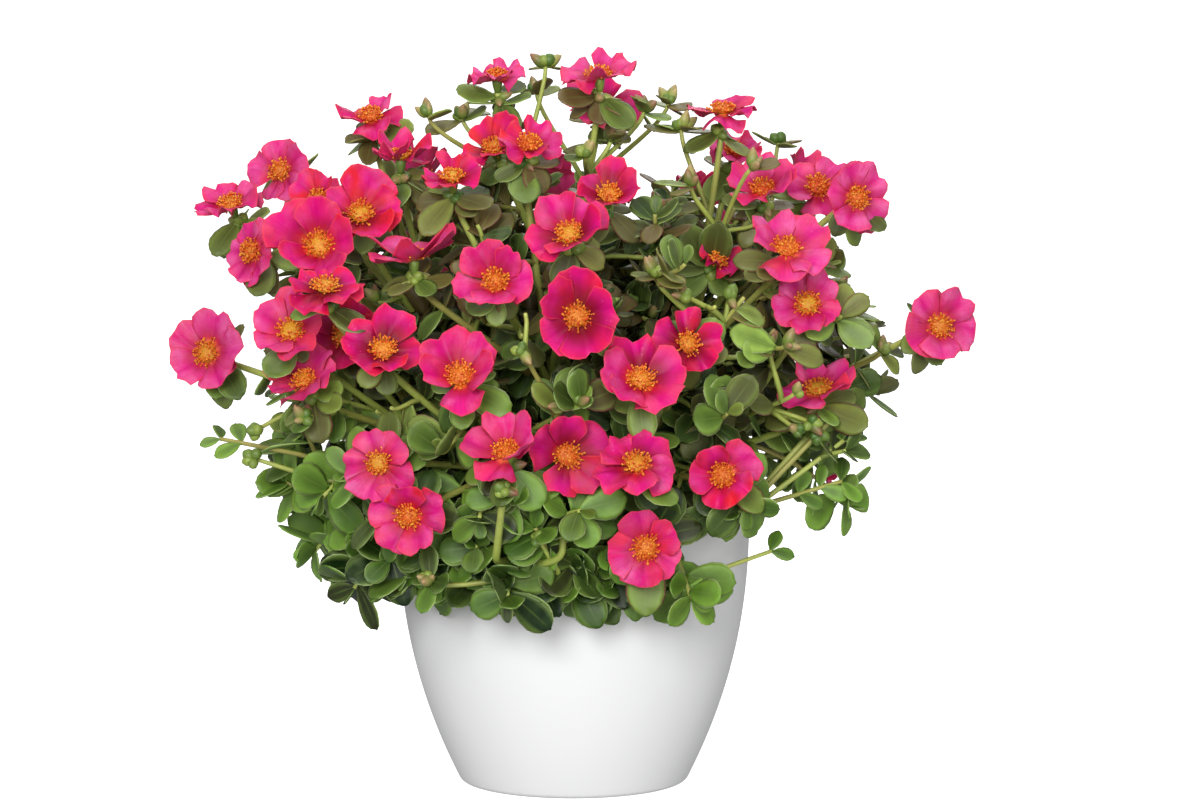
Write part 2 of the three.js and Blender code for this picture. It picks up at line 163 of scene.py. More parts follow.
# Layers of twig tips: how many, crowding towards the bottom, the least and the greatest share
# of the dome's size, and their kind.
TWIG_LAYERS = [
    (80, 1.0, 0.35, 0.6, "inner"),
    (135, 1.1, 0.62, 0.82, "inner"),
    (190, 1.3, 0.88, 1.0, "twig"),
]
# Rings of twigs that hang over the pot's rim: how many, their height and how far they reach
# beyond the pot's wall.
RIM_RINGS = [
    (34, 113 * MM, 10 * MM),
    (38, 121 * MM, 18 * MM),
    (38, 131 * MM, 23 * MM),
    (34, 142 * MM, 14 * MM),
]
WALL_ROOM = 12 * MM  # how far out from the pot's wall the tips of low twigs stay
# The lowest tips of twigs, by bearing: the foliage is open at the front right.
SKIRT = [
    (-180, 112), (-60, 112), (-35, 108), (12, 108), (24, 122), (40, 178), (126, 182), (145, 112),
    (180, 112),
]
HANGING_LEAF = 9 * MM  # how far a leaf may hang below the skirt
# Heads of buds that stand out in the photograph, as sighted: across and height in the plane of
# the pot's axis, and how far before that plane, all in millimetres.
HEADS = [
    (-15, 386, 10), (-78, 359, 20), (38, 362, 5), (51, 366, -15), (58, 352, 20),
    (6, 338, 60), (63, 322, 60), (44, 274, 118), (106, 236, 96), (95, 232, 104),
    (15, 289, 140), (144, 253, 40), (166, 232, 30), (-143, 200, 100), (-78, 108, 128),
    (-92, 318, 70), (-98, 300, 88), (118, 330, 40), (-60, 358, 0), (130, 240, 70),
    (90, 342, -10), (20, 346, 20), (-36, 350, -40), (110, 345, -60), (-20, 372, -50),
]
# Bunches of seed capsules that hang below flowers in the photograph, as sighted.
BUNCHES = [
    (-171, 190, 75), (-173, 174, 72), (-146, 196, 112), (128, 194, 84), (132, 188, 80),
    (120, 190, 84), (151, 216, 60), (-40, 252, 150), (-126, 262, 120), (60, 262, 120),
    (84, 262, 110), (62, 226, 140), (-28, 232, 160),
]
# Trailing twigs and bare stalks, as sighted: their bend, their tip, how thick they are, the size
# of their leaves, how many pairs of leaves and how many capsules they carry.
TRAILERS = [
    ((-150, 177, 62), (-191, 185, 50), 1.0, 0.62, 2, 0),
    ((48, 103, 94), (107, 124, 78), 1.0, 0.66, 1, 0),
    ((103, 152, 72), (146, 184, 66), 1.1, 0.5, 1, 0),
    ((100, 156, 66), (128, 188, 66), 1.4, 0.5, 0, 3),
    ((96, 150, 80), (140, 196, 72), 1.2, 0.5, 0, 0),
    ((108, 151, 60), (145, 162, 52), 1.0, 0.62, 3, 0),
    ((-42, 122, 142), (-38, 157, 172), 1.5, 0.5, 0, 8),
    ((-6, 126, 136), (-6, 150, 136), 1.4, 0.5, 0, 0),
    ((-9, 114, 128), (-19, 130, 140), 1.0, 0.5, 0, 3),
]
TRAILER_STEP = 12 * MM
TWIG_MARGIN = 9 * MM  # how much nearer to the crown than its tip a twig forks
TWIG_EASE = 0.33
TWIG_TRIES = 6
TWIG_ROOM = 2.5 * MM  # how clear a twig stays of the pot and of the soil
HEAD_EASE = 0.2
# The shares of a stem's length between which twigs fork, by its kind.
FORK_SHARES = {"main": (0.35, 1.0), "stalk": (0.1, 0.7)}
TWIG_FORK_SHARES = (0.1, 0.85)
FORKS_PER_STEM = 8
# How steeply the tips of twigs stand, in degrees, at heights in millimetres.
TIP_HEIGHTS = [95, 115, 150, 220, 300]
TIP_RISES = [-45, -15, 15, 35, 60]

# ---- Flowers ----
PETALS = 5
PETAL_LIFT = 9 * MM
CALYX_LENGTH = 7 * MM
PETAL_THICKNESS = 0.4 * MM
PETAL_ALONG = np.array([0, 0.08, 0.2, 0.34, 0.48, 0.62, 0.75, 0.86, 0.94, 0.98, 1])
PETAL_ACROSS = np.array([-1, -0.95, -0.8, -0.6, -0.4, -0.18, 0, 0.18, 0.4, 0.6, 0.8, 0.95, 1])
# How petals differ: least and greatest values, in millimetres, degrees or shares of the petal.
CORNER_CUT = (0.12, 0.32)
LOPSIDED = (-0.1, 0.1)
NOTCH_DEPTH = (0.02, 0.13)
NOTCH_WIDTH = 0.2
SCALLOP_DEPTH = (0, 0.09)
SCALLOP_TURNS = (5, 11)
PETAL_RISE_SPREAD = 14
PETAL_RISE_LIMITS = (-26, 14)
RIM_LEAN = (0, 50)
RIM_FROM = 0.7
PETAL_STRETCH = (0.88, 1.08)
PETAL_SPREAD = (0.98, 1.18)
MARGIN_CURL = (-2.0, 4.0)
PETAL_TWIST = 1.8
HALF_SWELL = (0.6, 3.0)
RIM_WAVE = (1.0, 3.8)
FINE_CREASE = (0.4, 1.5)
STAMENS = 66
STAMEN_SHARE = 0.37  # radius of the tuft of stamens, as a share of the flower's
CUSHION_HEIGHT = 4 * MM
THREAD_RADIUS = 0.27 * MM
STAMEN_HEIGHT = 6.0  # in millimetres, like the next
STAMEN_DROP = 3.6  # how much lower the outermost stamens end
ANTHER_LENGTH = 1.9 * MM
ANTHER_RADIUS = 0.55 * MM
# The looks of the front flowers: how steeply the petals rise from the flower's plane and their
# half breadth, both in degrees, how warm and how pale they are, below 0 with painted shade deep in
# the cup, and their length as a share of the CAD cup's radius.
FLOWER_LOOKS = [
    (24, 39, 0.0, 1.2, 0.93), (12, 40, 0.3, 0.4, 0.92), (22, 41, 0.3, -0.3, 1.1),
    (6, 42, 0.2, 0.0, 1.0), (20, 39, 0.3, 1.1, 0.92), (20, 38, 0.3, 0.2, 0.88),
    (24, 40, 0.5, -0.4, 1.0), (18, 39, 0.8, -0.1, 0.93), (28, 39, 1.0, -0.2, 0.93),
    (28, 38, 1.0, 0.1, 0.87), (12, 38, 0.5, 1.4, 1.04), (26, 39, 0.2, 0.5, 0.93),
    (38, 44, 0.9, -0.2, 1.0), (36, 44, 0.4, 0.2, 1.06), (34, 42, 0.8, 0.4, 0.92),
    (24, 42, 0.2, 0.9, 0.98), (22, 43, 0.4, -1.2, 0.92), (24, 46, 1.0, 0.9, 1.12),
    (34, 43, 0.0, 0.2, 0.98), (30, 43, 0.0, -0.4, 1.0), (26, 42, 0.6, -0.5, 0.95),
    (32, 45, 0.3, -1.0, 1.02), (28, 42, 0.7, -1.2, 1.0), (30, 43, 0.8, 1.2, 1.04),
    (32, 43, 0.1, 0.8, 1.0), (28, 45, 1.0, -0.9, 1.04), (24, 43, 0.7, 1.3, 1.1),
    (34, 42, 0.4, 0.3, 1.02), (20, 41, 0.3, 1.0, 1.05), (26, 43, 0.8, 0.7, 1.02),
    (36, 43, 0.4, 0.8, 1.0), (22, 41, 0.6, -0.1, 1.0), (18, 40, 0.2, 0.1, 1.0),
    (30, 45, 1.0, 0.0, 0.95), (26, 45, 0.9, 0.6, 0.99), (32, 43, 0.1, -0.4, 1.0),
    (24, 40, 0.6, -0.9, 0.94), (22, 43, 0.6, 0.8, 0.97), (18, 38, 0.2, 0.8, 1.0),
    (34, 42, 0.6, 1.2, 0.98), (26, 40, 0.4, 0.4, 0.95), (18, 42, 0.1, 1.0, 1.02),
    (18, 40, 0.0, 1.5, 1.0), (20, 43, 0.1, 1.5, 1.0), (28, 38, 0.9, 0.1, 0.78),
]

# ---- Leaves ----
LEAF_LENGTH = 23 * MM
LEAF_WIDTH = 15.5 * MM
LEAF_THICKNESS = 1.3 * MM
# The grids of blades, fine in front and plain deep inside: shares of the length, the half width
# at each, and shares of the half width.
LEAF_GRIDS = {
    "fine": ([0, 0.12, 0.3, 0.5, 0.69, 0.86, 0.96, 1], [0.1, 0.32, 0.74, 0.97, 1, 0.84, 0.56, 0.26],
             [-1, -0.7, 0, 0.7, 1]),
    "plain": ([0, 0.35, 0.68, 0.92, 1], [0.1, 0.8, 1, 0.66, 0.3], [-1, 0, 1]),
}
# The share of its tone that an inner leaf keeps: painted shade deep inside the foliage.
INNER_SHADE = 0.25
LEAF_FOLD = (-0.04, 0.26)
LEAF_DROOP = (-0.16, 0.2)
LEAF_CURL = 0.2
LEAF_OUTWARD = 0.5  # how far a leaf's upper side turns away from the plant's middle
LEAF_SUNWARD = 0.9  # how far the leaves of the front half turn to the light before the plant
LEAF_ROOM = 3 * MM  # how clear a leaf stays of the pot and of the soil
ACCENT_WIDTH = 0.84  # as a share of the usual leaf's, like the next
TRAILER_WIDTH = 0.85
ROSETTE_LEAVES = 7
ROSETTE_STEP = 1.4 * MM
WHORL_LEAVES = 6
HEAD_LEAVES = 4
PAIRS_BELOW = 13 * MM
PAIR_STEP = 9 * MM
PAIRS = 2
# The size of a twig's leaves at heights in millimetres.
LEAFY_HEIGHTS = [110, 200, 320]
LEAFY_SIZES = [1.15, 1.05, 0.9]
# Painted shade makes the foliage darker low at the front: how much, and from and to which
# heights, in millimetres, and bearings.
LOW_FRONT_SHADE = 0.35
LOW_FRONT_SHADE_HEIGHTS = [165, 195]
LOW_FRONT_SHADE_BEARINGS = [20, 42]
# Leaves that stand out in the photograph: the flower or head of buds that they grow below, the
# bearing and the rise of the way they point, their size, tone and flush of red.
ACCENT_LEAVES = [
    ("flower_01", -75, 4, 1.05, 0.5, 0.1), ("flower_01", 40, -60, 1.2, 0.3, 0.1),
    ("flower_02", -60, -8, 1.15, 0.15, 0.9), ("flower_02", 50, -38, 1.25, 0.35, 0.1),
    ("flower_04", -75, -35, 1.0, 0.3, 0.3), ("flower_05", -50, -50, 1.1, 0.5, 0.2),
    ("flower_06", 65, 0, 1.2, 0.75, 0.3), ("flower_06", -20, -60, 0.9, 0.2, 0.8),
    ("flower_07", 60, -35, 1.0, 0.15, 0.6), ("flower_08", -55, -45, 1.2, 0.65, 0.5),
    ("flower_08", 50, -15, 1.2, 0.3, 0.6), ("flower_11", 80, -10, 0.7, 0.4, 0.2),
    ("flower_12", -35, -40, 1.15, 0.4, 0.2), ("flower_14", -20, -60, 1.0, 0.7, 0.8),
    ("flower_16", -10, -50, 1.2, 0.4, 0.3), ("flower_17", 65, -30, 1.1, 0.1, 0.3),
    ("flower_19", 0, -75, 0.8, 0.7, 0.2), ("flower_22", 55, -45, 1.1, 0.5, 0.4),
    ("flower_23", 60, -10, 0.9, 0.6, 0.4), ("flower_24", -35, -40, 1.25, 0.45, 0.0),
    ("flower_24", 40, -50, 0.6, 0.2, 0.5), ("flower_25", 50, -50, 1.25, 0.3, 0.1),
    ("flower_25", -5, -80, 1.0, 0.7, 0.0), ("flower_28", 60, -25, 1.25, 0.6, 0.0),
    ("flower_28", -10, -75, 1.0, 0.6, 0.1), ("flower_29", 75, 5, 1.0, 0.6, 0.2),
    ("flower_33", 65, -35, 1.15, 0.6, 0.3), ("flower_34", 62, -38, 1.15, 0.6, 0.6),
    ("flower_35", 0, -76, 1.55, 0.7, 0.6), ("flower_36", 25, -75, 1.15, 0.6, 0.3),
    ("flower_37", 70, -10, 1.1, 0.4, 0.5), ("flower_38", -78, -18, 1.3, 0.3, 0.6),
    ("flower_38", 70, -22, 1.3, 0.6, 0.7),
    ("flower_39", -20, -75, 1.1, 0.5, 0.6), ("flower_40", -75, 10, 1.1, 0.4, 0.6),
    ("flower_40", -70, -25, 1.0, 0.3, 0.5), ("flower_41", -80, 10, 1.0, 0.4, 0.3),
    ("flower_43", 60, -40, 1.15, 0.2, 0.2), ("flower_44", 10, -70, 1.0, 0.35, 0.2),
    ("flower_45", -40, 45, 1.3, 0.3, 0.2), ("flower_45", -75, 10, 1.1, 0.15, 0.2),
    ("flower_45", 5, 40, 1.4, 0.15, 0.3), ("flower_45", 72, -10, 0.9, 0.1, 0.5),
    ("head_11", 10, 70, 1.05, 0.6, 0.3), ("head_11", -10, -75, 0.9, 0.65, 0.2),
    ("head_11", 30, -70, 0.95, 0.55, 0.2),
]

# ---- Clusters of buds and seed capsules ----
# How they lean from their stem, in degrees, and the share of capsules among them.
CLUSTERS = {
    "flower": ((60, 110), 0.65),
    "head": ((10, 60), 0.3),
    "trailer": ((10, 100), 0.85),
    "bunch": ((10, 80), 0.8),
}
HEAD_BUDS = 5
BUNCH_SIZE = 4
BUDDING_HEIGHT = 200 * MM  # a leafy twig above it may end in a few buds
BUDDING_SHARE = 0.3

rng = np.random.default_rng(7)


# ---- Directions and repeatable variation ----
def facing(bearing, rise):
    b, e = math.radians(bearing), math.radians(rise)
    return np.array([math.sin(b) * math.cos(e), -math.cos(b) * math.cos(e), math.sin(e)])


def unit(way):
    return way / np.linalg.norm(way)


# A number from 0 to 1 that is always the same for one index and one purpose.
def vary(index, purpose):
    wave = math.sin(index * 12.9898 + purpose * 78.233) * 43758.5453
    return wave - math.floor(wave)


def around(middle, spread, index, purpose):
    return middle + spread * (vary(index, purpose) - 0.5)


def jitter(spread):
    return rng.uniform(-spread, spread)


def mound_radius(height):
    share = abs((height - MOUND_WAIST) / MOUND_REACH)
    left = max(0.0, 1 - share**MOUND_SHOULDER)
    return MOUND_RADIUS * left ** (1 / MOUND_CROWN)


def mound_point(bearing, height, share):
    point = facing(bearing, 0) * mound_radius(height) * share
    point[2] = height
    return point


def wall_radius(height):
    flare = 1 - np.power(np.clip(1 - height / POT_HEIGHT, 0, 1), WALL_CURVE)
    return BASE_RADIUS + (RIM_RADIUS - BASE_RADIUS) * flare


def soil_height(radius):
    share = np.minimum(1, radius / (wall_radius(SOIL_EDGE) - WALL))
    return SOIL_CROWN + (SOIL_EDGE - SOIL_CROWN) * share * share


def bearing_of(point):
    return math.degrees(math.atan2(point[0], -point[1]))


# A direction square to another.
def square_to(way):
    side = np.cross(UP, way)
    if np.linalg.norm(side) < 1e-6:
        side = np.cross(np.array([1.0, 0.0, 0.0]), way)
    return unit(side)


# A direction square to an axis, by a turn round it in degrees.
def side_of(axis, turn):
    side = square_to(axis)
    angle = math.radians(turn)
    return side * math.cos(angle) + np.cross(axis, side) * math.sin(angle)


# A direction that leans from an axis to a side, by degrees.
def leaning(axis, side, lean):
    angle = math.radians(lean)
    return unit(axis * math.cos(angle) + side * math.sin(angle))


# ---- Meshes ----
# The traits of a vertex say where on its organ it lies, for the materials: how far along from
# base to tip, how far across from the middle line to the margin, the organ's own tone, whether
# it is on the underside, whether it is in a valley or on a ridge, and the organ's paleness.
TRAITS = 6


def add_object(name, data):
    made = bpy.data.objects.new(name, data)
    bpy.context.scene.collection.objects.link(made)
    return made


class Piece:
    def __init__(self):
        self.points = []
        self.traits = []
        self.faces = []
        self.count = 0

    def add(self, points, faces, traits):
        self.points.append(points)
        self.traits.append(traits)
        self.faces.extend(part + self.count for part in faces)
        self.count += len(points)

    # The object of a piece in the material of its slot, in the place of the CAD nodes named.
    def build(self, name, slot, *nodes):
        mesh = bpy.data.meshes.new(name)
        points = np.concatenate(self.points)
        corners = np.concatenate([part.ravel() for part in self.faces])
        sizes = np.concatenate([np.full(len(part), part.shape[1]) for part in self.faces])
        starts = np.concatenate([[0], np.cumsum(sizes)[:-1]])
        mesh.vertices.add(len(points))
        mesh.vertices.foreach_set("co", points.astype(np.float32).ravel())
        mesh.loops.add(len(corners))
        mesh.loops.foreach_set("vertex_index", corners.astype(np.int32))
        mesh.polygons.add(len(sizes))
        mesh.polygons.foreach_set("loop_start", starts.astype(np.int32))
        traits = np.concatenate(self.traits).astype(np.float32)
        for attribute, columns in (("growth", traits[:, :3]), ("finish", traits[:, 3:])):
            made = mesh.attributes.new(attribute, "FLOAT_VECTOR", "POINT")
            made.data.foreach_set("vector", columns.ravel())
        mesh.update(calc_edges=True)
        mesh.shade_smooth()
        mesh.materials.append(MATERIALS[slot])
        made = add_object(name, mesh)
        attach(made, "root")
        if nodes:
            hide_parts(*nodes)
        return made


# The faces of a thin closed sheet whose upper and lower sides share their border.
@functools.cache
def sheet_faces(rows, columns):
    top = np.arange(rows * columns).reshape(rows, columns)
    low = top.copy()
    low[1:-1, 1:-1] = rows * columns + np.arange((rows - 2) * (columns - 2)).reshape(
        rows - 2, columns - 2
    )

    def quads(ids):
        parts = [ids[:-1, :-1], ids[1:, :-1], ids[1:, 1:], ids[:-1, 1:]]
        return np.stack([part.ravel() for part in parts], axis=1)

    return np.concatenate([quads(top), quads(low)[:, ::-1]])


# A closed sheet from the grid of its middle surface, with its thickness at each grid point.
def sheet(middle, thickness, along, across, tone, pale, fold):
    slope_along = np.gradient(middle, axis=0)
    slope_across = np.gradient(middle, axis=1)
    normal = np.cross(slope_along, slope_across)
    normal /= np.linalg.norm(normal, axis=2, keepdims=True)
    half = normal * thickness[..., None] / 2
    top = (middle + half).reshape(-1, 3)
    low = (middle - half)[1:-1, 1:-1].reshape(-1, 3)
    traits = np.zeros((len(along), len(across), TRAITS))
    traits[..., 0] = along[:, None]
    traits[..., 1] = np.abs(across)
    traits[..., 2] = tone
    traits[..., 4] = fold
    traits[..., 5] = pale
    under = traits[1:-1, 1:-1].copy()
    under[..., 3] = 1
    traits = np.concatenate([traits.reshape(-1, TRAITS), under.reshape(-1, TRAITS)])
    return np.concatenate([top, low]), [sheet_faces(len(along), len(across))], traits


# The faces of a closed body of rings of points, with a cap to a point of its own at each end.
def ring_faces(rings, sides):
    ids = np.arange(rings * sides).reshape(rings, sides)
    after = np.roll(ids, -1, axis=1)
    walls = np.stack([ids[:-1], after[:-1], after[1:], ids[1:]], axis=2).reshape(-1, 4)
    first = np.full(sides, rings * sides)
    caps = np.concatenate([
        np.stack([first, after[0], ids[0]], axis=1),
        np.stack([first + 1, ids[-1], after[-1]], axis=1),
    ])
    return [walls, caps]


# A closed tube round a path, with a radius at each of its points.
def tube(path, radii, sides, tone, along=None):
    count = len(path)
    ways = np.gradient(path, axis=0)
    ways /= np.linalg.norm(ways, axis=1, keepdims=True)
    side = square_to(ways[0])
    turns = 2 * math.pi * np.arange(sides) / sides
    rings = []
    for way, centre, radius in zip(ways, path, radii):
        side = unit(side - way * (way @ side))
        spokes = np.outer(np.cos(turns), side) + np.outer(np.sin(turns), np.cross(way, side))
        rings.append(centre + radius * spokes)
    ends = np.stack([path[0] - ways[0] * radii[0] * 0.3, path[-1] + ways[-1] * radii[-1] * 0.4])
    if along is None:
        along = np.linspace(0, 1, count)
    traits = np.zeros((count * sides + 2, TRAITS))
    traits[:, 0] = np.concatenate([np.repeat(along, sides), [along[0], along[-1]]])
    traits[:, 1] = np.concatenate([np.tile(np.abs(np.sin(turns)), count), [0, 0]])
    traits[:, 2] = tone
    return np.concatenate([*rings, ends]), ring_faces(count, sides), traits


# A small closed body of revolution from a base along a direction, by shares and radii.
def spindle(base, way, length, shares, radii, sides, tone, along=None):
    path = base + np.outer(np.array(shares) * length, way)
    return tube(path, np.array(radii), sides, tone, along)


# ---- Node materials ----
def srgb(red, green, blue):
    def linear(value):
        value /= 255
        return value / 12.92 if value <= 0.04045 else ((value + 0.055) / 1.055) ** 2.4

    return (linear(red), linear(green), linear(blue), 1.0)


# The node tree of one material, built up step by step. Most steps return a socket, and a tint is
# laid over the body colour of the steps before it.
class Recipe:
    def __init__(self, name, mean, roughness):
        self.material = bpy.data.materials.new(name)
        self.material.use_nodes = True
        self.tree = self.material.node_tree
        self.shader = self.tree.nodes["Principled BSDF"]
        self.body = mean
        self.constant(Base_Color=mean, Roughness=roughness)

    def node(self, kind, inputs=(), **settings):
        made = self.tree.nodes.new(kind)
        for name, value in settings.items():
            setattr(made, name, value)
        for key, value in dict(inputs).items():
            self.feed(made.inputs[key], value)
        return made

    def feed(self, socket, value):
        if isinstance(value, bpy.types.NodeSocket):
            self.tree.links.new(value, socket)
        else:
            socket.default_value = value

    # The X, Y and Z of one of the pieces' attributes.
    def traits(self, name):
        read = self.node("ShaderNodeAttribute", attribute_name=name)
        parts = self.node("ShaderNodeSeparateXYZ", {"Vector": read.outputs["Vector"]})
        return parts.outputs["X"], parts.outputs["Y"], parts.outputs["Z"]

    def place(self):
        return self.node("ShaderNodeTexCoord").outputs["Object"]

    def height(self):
        parts = self.node("ShaderNodeSeparateXYZ", {"Vector": self.place()})
        return parts.outputs["Z"]

    def math(self, operation, a, b=0.0):
        return self.node("ShaderNodeMath", {0: a, 1: b}, operation=operation).outputs[0]

    # A value taken from one range to 0 to 1, and kept inside it.
    def share(self, value, low, high):
        steps = {"Value": value, "From Min": low, "From Max": high}
        return self.node("ShaderNodeMapRange", steps).outputs["Result"]

    def mix(self, factor, a, b, blend="MIX"):
        steps = {0: factor, 6: a, 7: b}
        return self.node("ShaderNodeMix", steps, data_type="RGBA", blend_type=blend).outputs[2]

    def ramp(self, value, stops):
        made = self.node("ShaderNodeValToRGB", {"Fac": value})
        elements = made.color_ramp.elements
        while len(elements) < len(stops):
            elements.new(0.5)
        for element, (position, colour) in zip(elements, stops):
            element.position = position
            element.color = colour
        return made.outputs["Color"]

    def noise(self, scale, detail):
        steps = {"Vector": self.place(), "Scale": scale, "Detail": detail}
        return self.node("ShaderNodeTexNoise", steps).outputs["Fac"]

    # A share of a value.
    def part(self, value, amount):
        return self.math("MULTIPLY", value, amount)

    def tint(self, factor, colour):
        self.body = self.mix(factor, self.body, colour)

    def rough(self, socket):
        self.feed(self.shader.inputs["Roughness"], socket)

    def bump(self, height, strength, distance):
        steps = {"Height": height, "Strength": strength, "Distance": distance}
        made = self.node("ShaderNodeBump", steps)
        self.feed(self.shader.inputs["Normal"], made.outputs["Normal"])

    def constant(self, **values):
        for name, value in values.items():
            self.shader.inputs[name.replace("_", " ")].default_value = value

    # The finished material, in the body colour.
    def done(self):
        self.feed(self.shader.inputs["Base Color"], self.body)
        return self.material


def petal_material():
    r = Recipe("portulaca_petal", srgb(220, 34, 108), 0.5)
    along, across, warm = r.traits("growth")
    underside, ridge, pale = r.traits("finish")
    r.body = r.ramp(along, [
        (0.0, srgb(252, 176, 44)),
        (0.2, srgb(248, 136, 44)),
        (0.33, srgb(220, 26, 58)),
        (0.46, srgb(200, 0, 88)),
        (0.7, srgb(216, 2, 120)),
        (0.95, srgb(226, 12, 94)),
    ])
    # Painted highlight: lighter lilac-pink clouds on the outer petal, stronger on pale flowers.
    cloud = r.share(r.noise(120, 3), 0.45, 0.64)
    light = r.part(r.share(along, 0.25, 0.7), r.part(cloud, r.share(pale, -0.7, 0.8)))
    r.tint(r.part(light, 0.74), srgb(240, 118, 184))
    # Painted highlight on the ridges of each petal's two halves.
    ridge_highlight = r.part(r.share(ridge, 0.45, 1.0), r.share(along, 0.3, 0.75))
    ridge_highlight = r.part(ridge_highlight, r.share(pale, -0.9, 0.9))
    r.tint(r.part(ridge_highlight, 0.3), srgb(238, 112, 184))
    blush = r.share(r.noise(60, 2), 0.42, 0.6)
    r.tint(r.part(blush, r.math("ADD", 0.16, r.part(warm, 0.8))), srgb(232, 26, 42))
    r.tint(r.part(r.share(pale, 0.1, 1.2), 0.3), srgb(238, 96, 156))
    stripe = r.math("SUBTRACT", 1.0, r.share(across, 0.04, 0.45))
    stripe = r.part(stripe, r.share(along, 0.3, 0.6))
    r.tint(r.part(stripe, 0.5), srgb(226, 0, 146))
    # Painted shade: random darker crimson patches, stronger on deep flowers.
    shade = r.share(r.noise(75, 2), 0.5, 0.66)
    r.tint(r.part(r.part(shade, r.share(pale, 1.0, -0.5)), 0.6), srgb(164, 0, 58))
    # Painted shade in the valleys along each petal's middle and margins, strongest towards the base.
    valley_shade = r.part(r.share(ridge, 0.75, 0.1), r.share(along, 1.2, 0.4))
    r.tint(r.part(valley_shade, 0.5), srgb(158, 0, 66))
    # Painted shade: a dark ring in the cup's hollow just outside the stamens.
    hollow_shade = r.part(r.share(along, 0.62, 0.3), r.share(along, 0.2, 0.34))
    r.tint(r.part(hollow_shade, 0.45), srgb(130, 0, 34))
    # Painted shade deep in the cup of flowers whose paleness is below 0.
    deep_cup_shade = r.part(r.share(pale, 0.0, -0.7), r.share(along, 0.85, 0.25))
    r.tint(r.part(deep_cup_shade, 0.85), srgb(96, 0, 24))
    rim = r.math("MAXIMUM", r.share(along, 0.93, 1.0), r.share(across, 0.9, 1.0))
    r.tint(r.part(r.part(rim, r.share(along, 0.3, 0.7)), 0.7), srgb(240, 70, 84))
    veins = r.math("SINE", r.part(across, 46.0))
    r.tint(r.part(r.share(veins, 0.2, 1.0), 0.12), srgb(176, 8, 80))
    r.tint(r.part(underside, 0.35), srgb(236, 76, 136))
    r.bump(r.noise(420, 3), 0.18, 0.0006)
    r.constant(Subsurface_Weight=0.12, Subsurface_Scale=0.003, Sheen_Weight=0.05)
    r.constant(Sheen_Tint=srgb(255, 130, 190), Specular_IOR_Level=0.25)
    r.constant(Subsurface_Radius=(1.0, 0.25, 0.3))
    return r.done()


def leaf_material():
    r = Recipe("portulaca_leaf", srgb(82, 116, 56), 0.42)
    along, across, tone = r.traits("growth")
    underside, bloom, flush = r.traits("finish")
    high = r.share(r.height(), 0.15, 0.27)
    # The low leaves are fresh green, and their range reaches down to near black as painted shade under
    # the crown.
    fresh_and_shaded = r.mix(r.share(tone, 0.1, 0.9), srgb(8, 34, 4), srgb(130, 178, 60))
    grown = r.mix(tone, srgb(30, 54, 18), srgb(158, 184, 84))
    r.body = r.mix(high, fresh_and_shaded, grown)
    # Painted highlight: lighter towards the margins of the blade.
    r.tint(r.part(r.share(across, 0.5, 0.95), 0.38), srgb(160, 194, 88))
    # Painted shade: darker down the middle of the blade, towards its base.
    core_shade = r.part(r.share(across, 0.6, 0.1), r.share(along, 1.0, 0.5))
    r.tint(r.part(core_shade, 0.5), srgb(22, 50, 10))
    mottle = r.share(r.noise(160, 3), 0.35, 0.75)
    r.tint(r.part(mottle, 0.3), srgb(58, 88, 28))
    # Glaucous bloom that is partly a painted sheen: patchy grey-green, more on high leaves.
    bloom_and_sheen = r.part(bloom, r.share(r.noise(90, 2), 0.4, 0.62))
    bloom_and_sheen = r.part(bloom_and_sheen, r.math("ADD", 0.15, r.part(high, 0.25)))
    r.tint(bloom_and_sheen, srgb(150, 170, 126))
    r.tint(r.part(flush, r.math("ADD", 0.45, r.part(high, 0.25))), srgb(116, 80, 50))
    margin = r.mix(r.share(flush, 0.25, 0.6), srgb(196, 220, 144), srgb(140, 52, 74))
    r.tint(r.part(r.share(across, 0.88, 0.98), 0.85), margin)
    rib = r.part(r.math("SUBTRACT", 1.0, r.share(across, 0.0, 0.1)), r.share(along, 0.95, 0.3))
    r.tint(r.part(rib, 0.35), srgb(140, 168, 76))
    beneath = r.mix(high, srgb(118, 144, 82), srgb(128, 114, 72))
    r.tint(r.part(underside, 0.5), beneath)
    r.rough(r.math("ADD", 0.42, r.part(mottle, 0.2)))
    r.bump(r.noise(700, 2), 0.15, 0.0005)
    r.constant(Subsurface_Weight=0.08, Subsurface_Scale=0.003, Coat_Weight=0.1, Coat_Roughness=0.4)
    r.constant(Specular_IOR_Level=0.3)
    r.constant(Subsurface_Radius=(0.5, 1.0, 0.2))
    return r.done()


def stem_material():
    r = Recipe("portulaca_stem", srgb(156, 168, 84), 0.45)
    along, _, tone = r.traits("growth")
    r.body = r.ramp(along, [
        (0.0, srgb(120, 138, 56)),
        (0.5, srgb(168, 182, 84)),
        (1.0, srgb(190, 202, 102)),
    ])
    r.tint(r.part(r.share(tone, 0.4, 1.0), 0.55), srgb(144, 108, 66))
    blotch = r.share(r.noise(120, 4), 0.5, 0.75)
    r.tint(r.part(blotch, 0.4), srgb(124, 130, 60))
    r.bump(r.noise(520, 2), 0.2, 0.0005)
    r.constant(Subsurface_Weight=0.1, Subsurface_Scale=0.003)
    return r.done()


def bud_material():
    r = Recipe("portulaca_bud", srgb(140, 150, 86), 0.45)
    along, _, tone = r.traits("growth")
    green = r.mix(tone, srgb(70, 108, 40), srgb(152, 172, 74))
    tip = r.mix(tone, srgb(146, 84, 72), srgb(196, 172, 118))
    r.body = r.mix(r.share(along, 0.35, 0.95), green, tip)
    speck = r.share(r.noise(480, 3), 0.5, 0.7)
    r.tint(r.part(speck, 0.35), srgb(104, 92, 58))
    r.bump(r.noise(600, 2), 0.2, 0.0005)
    return r.done()


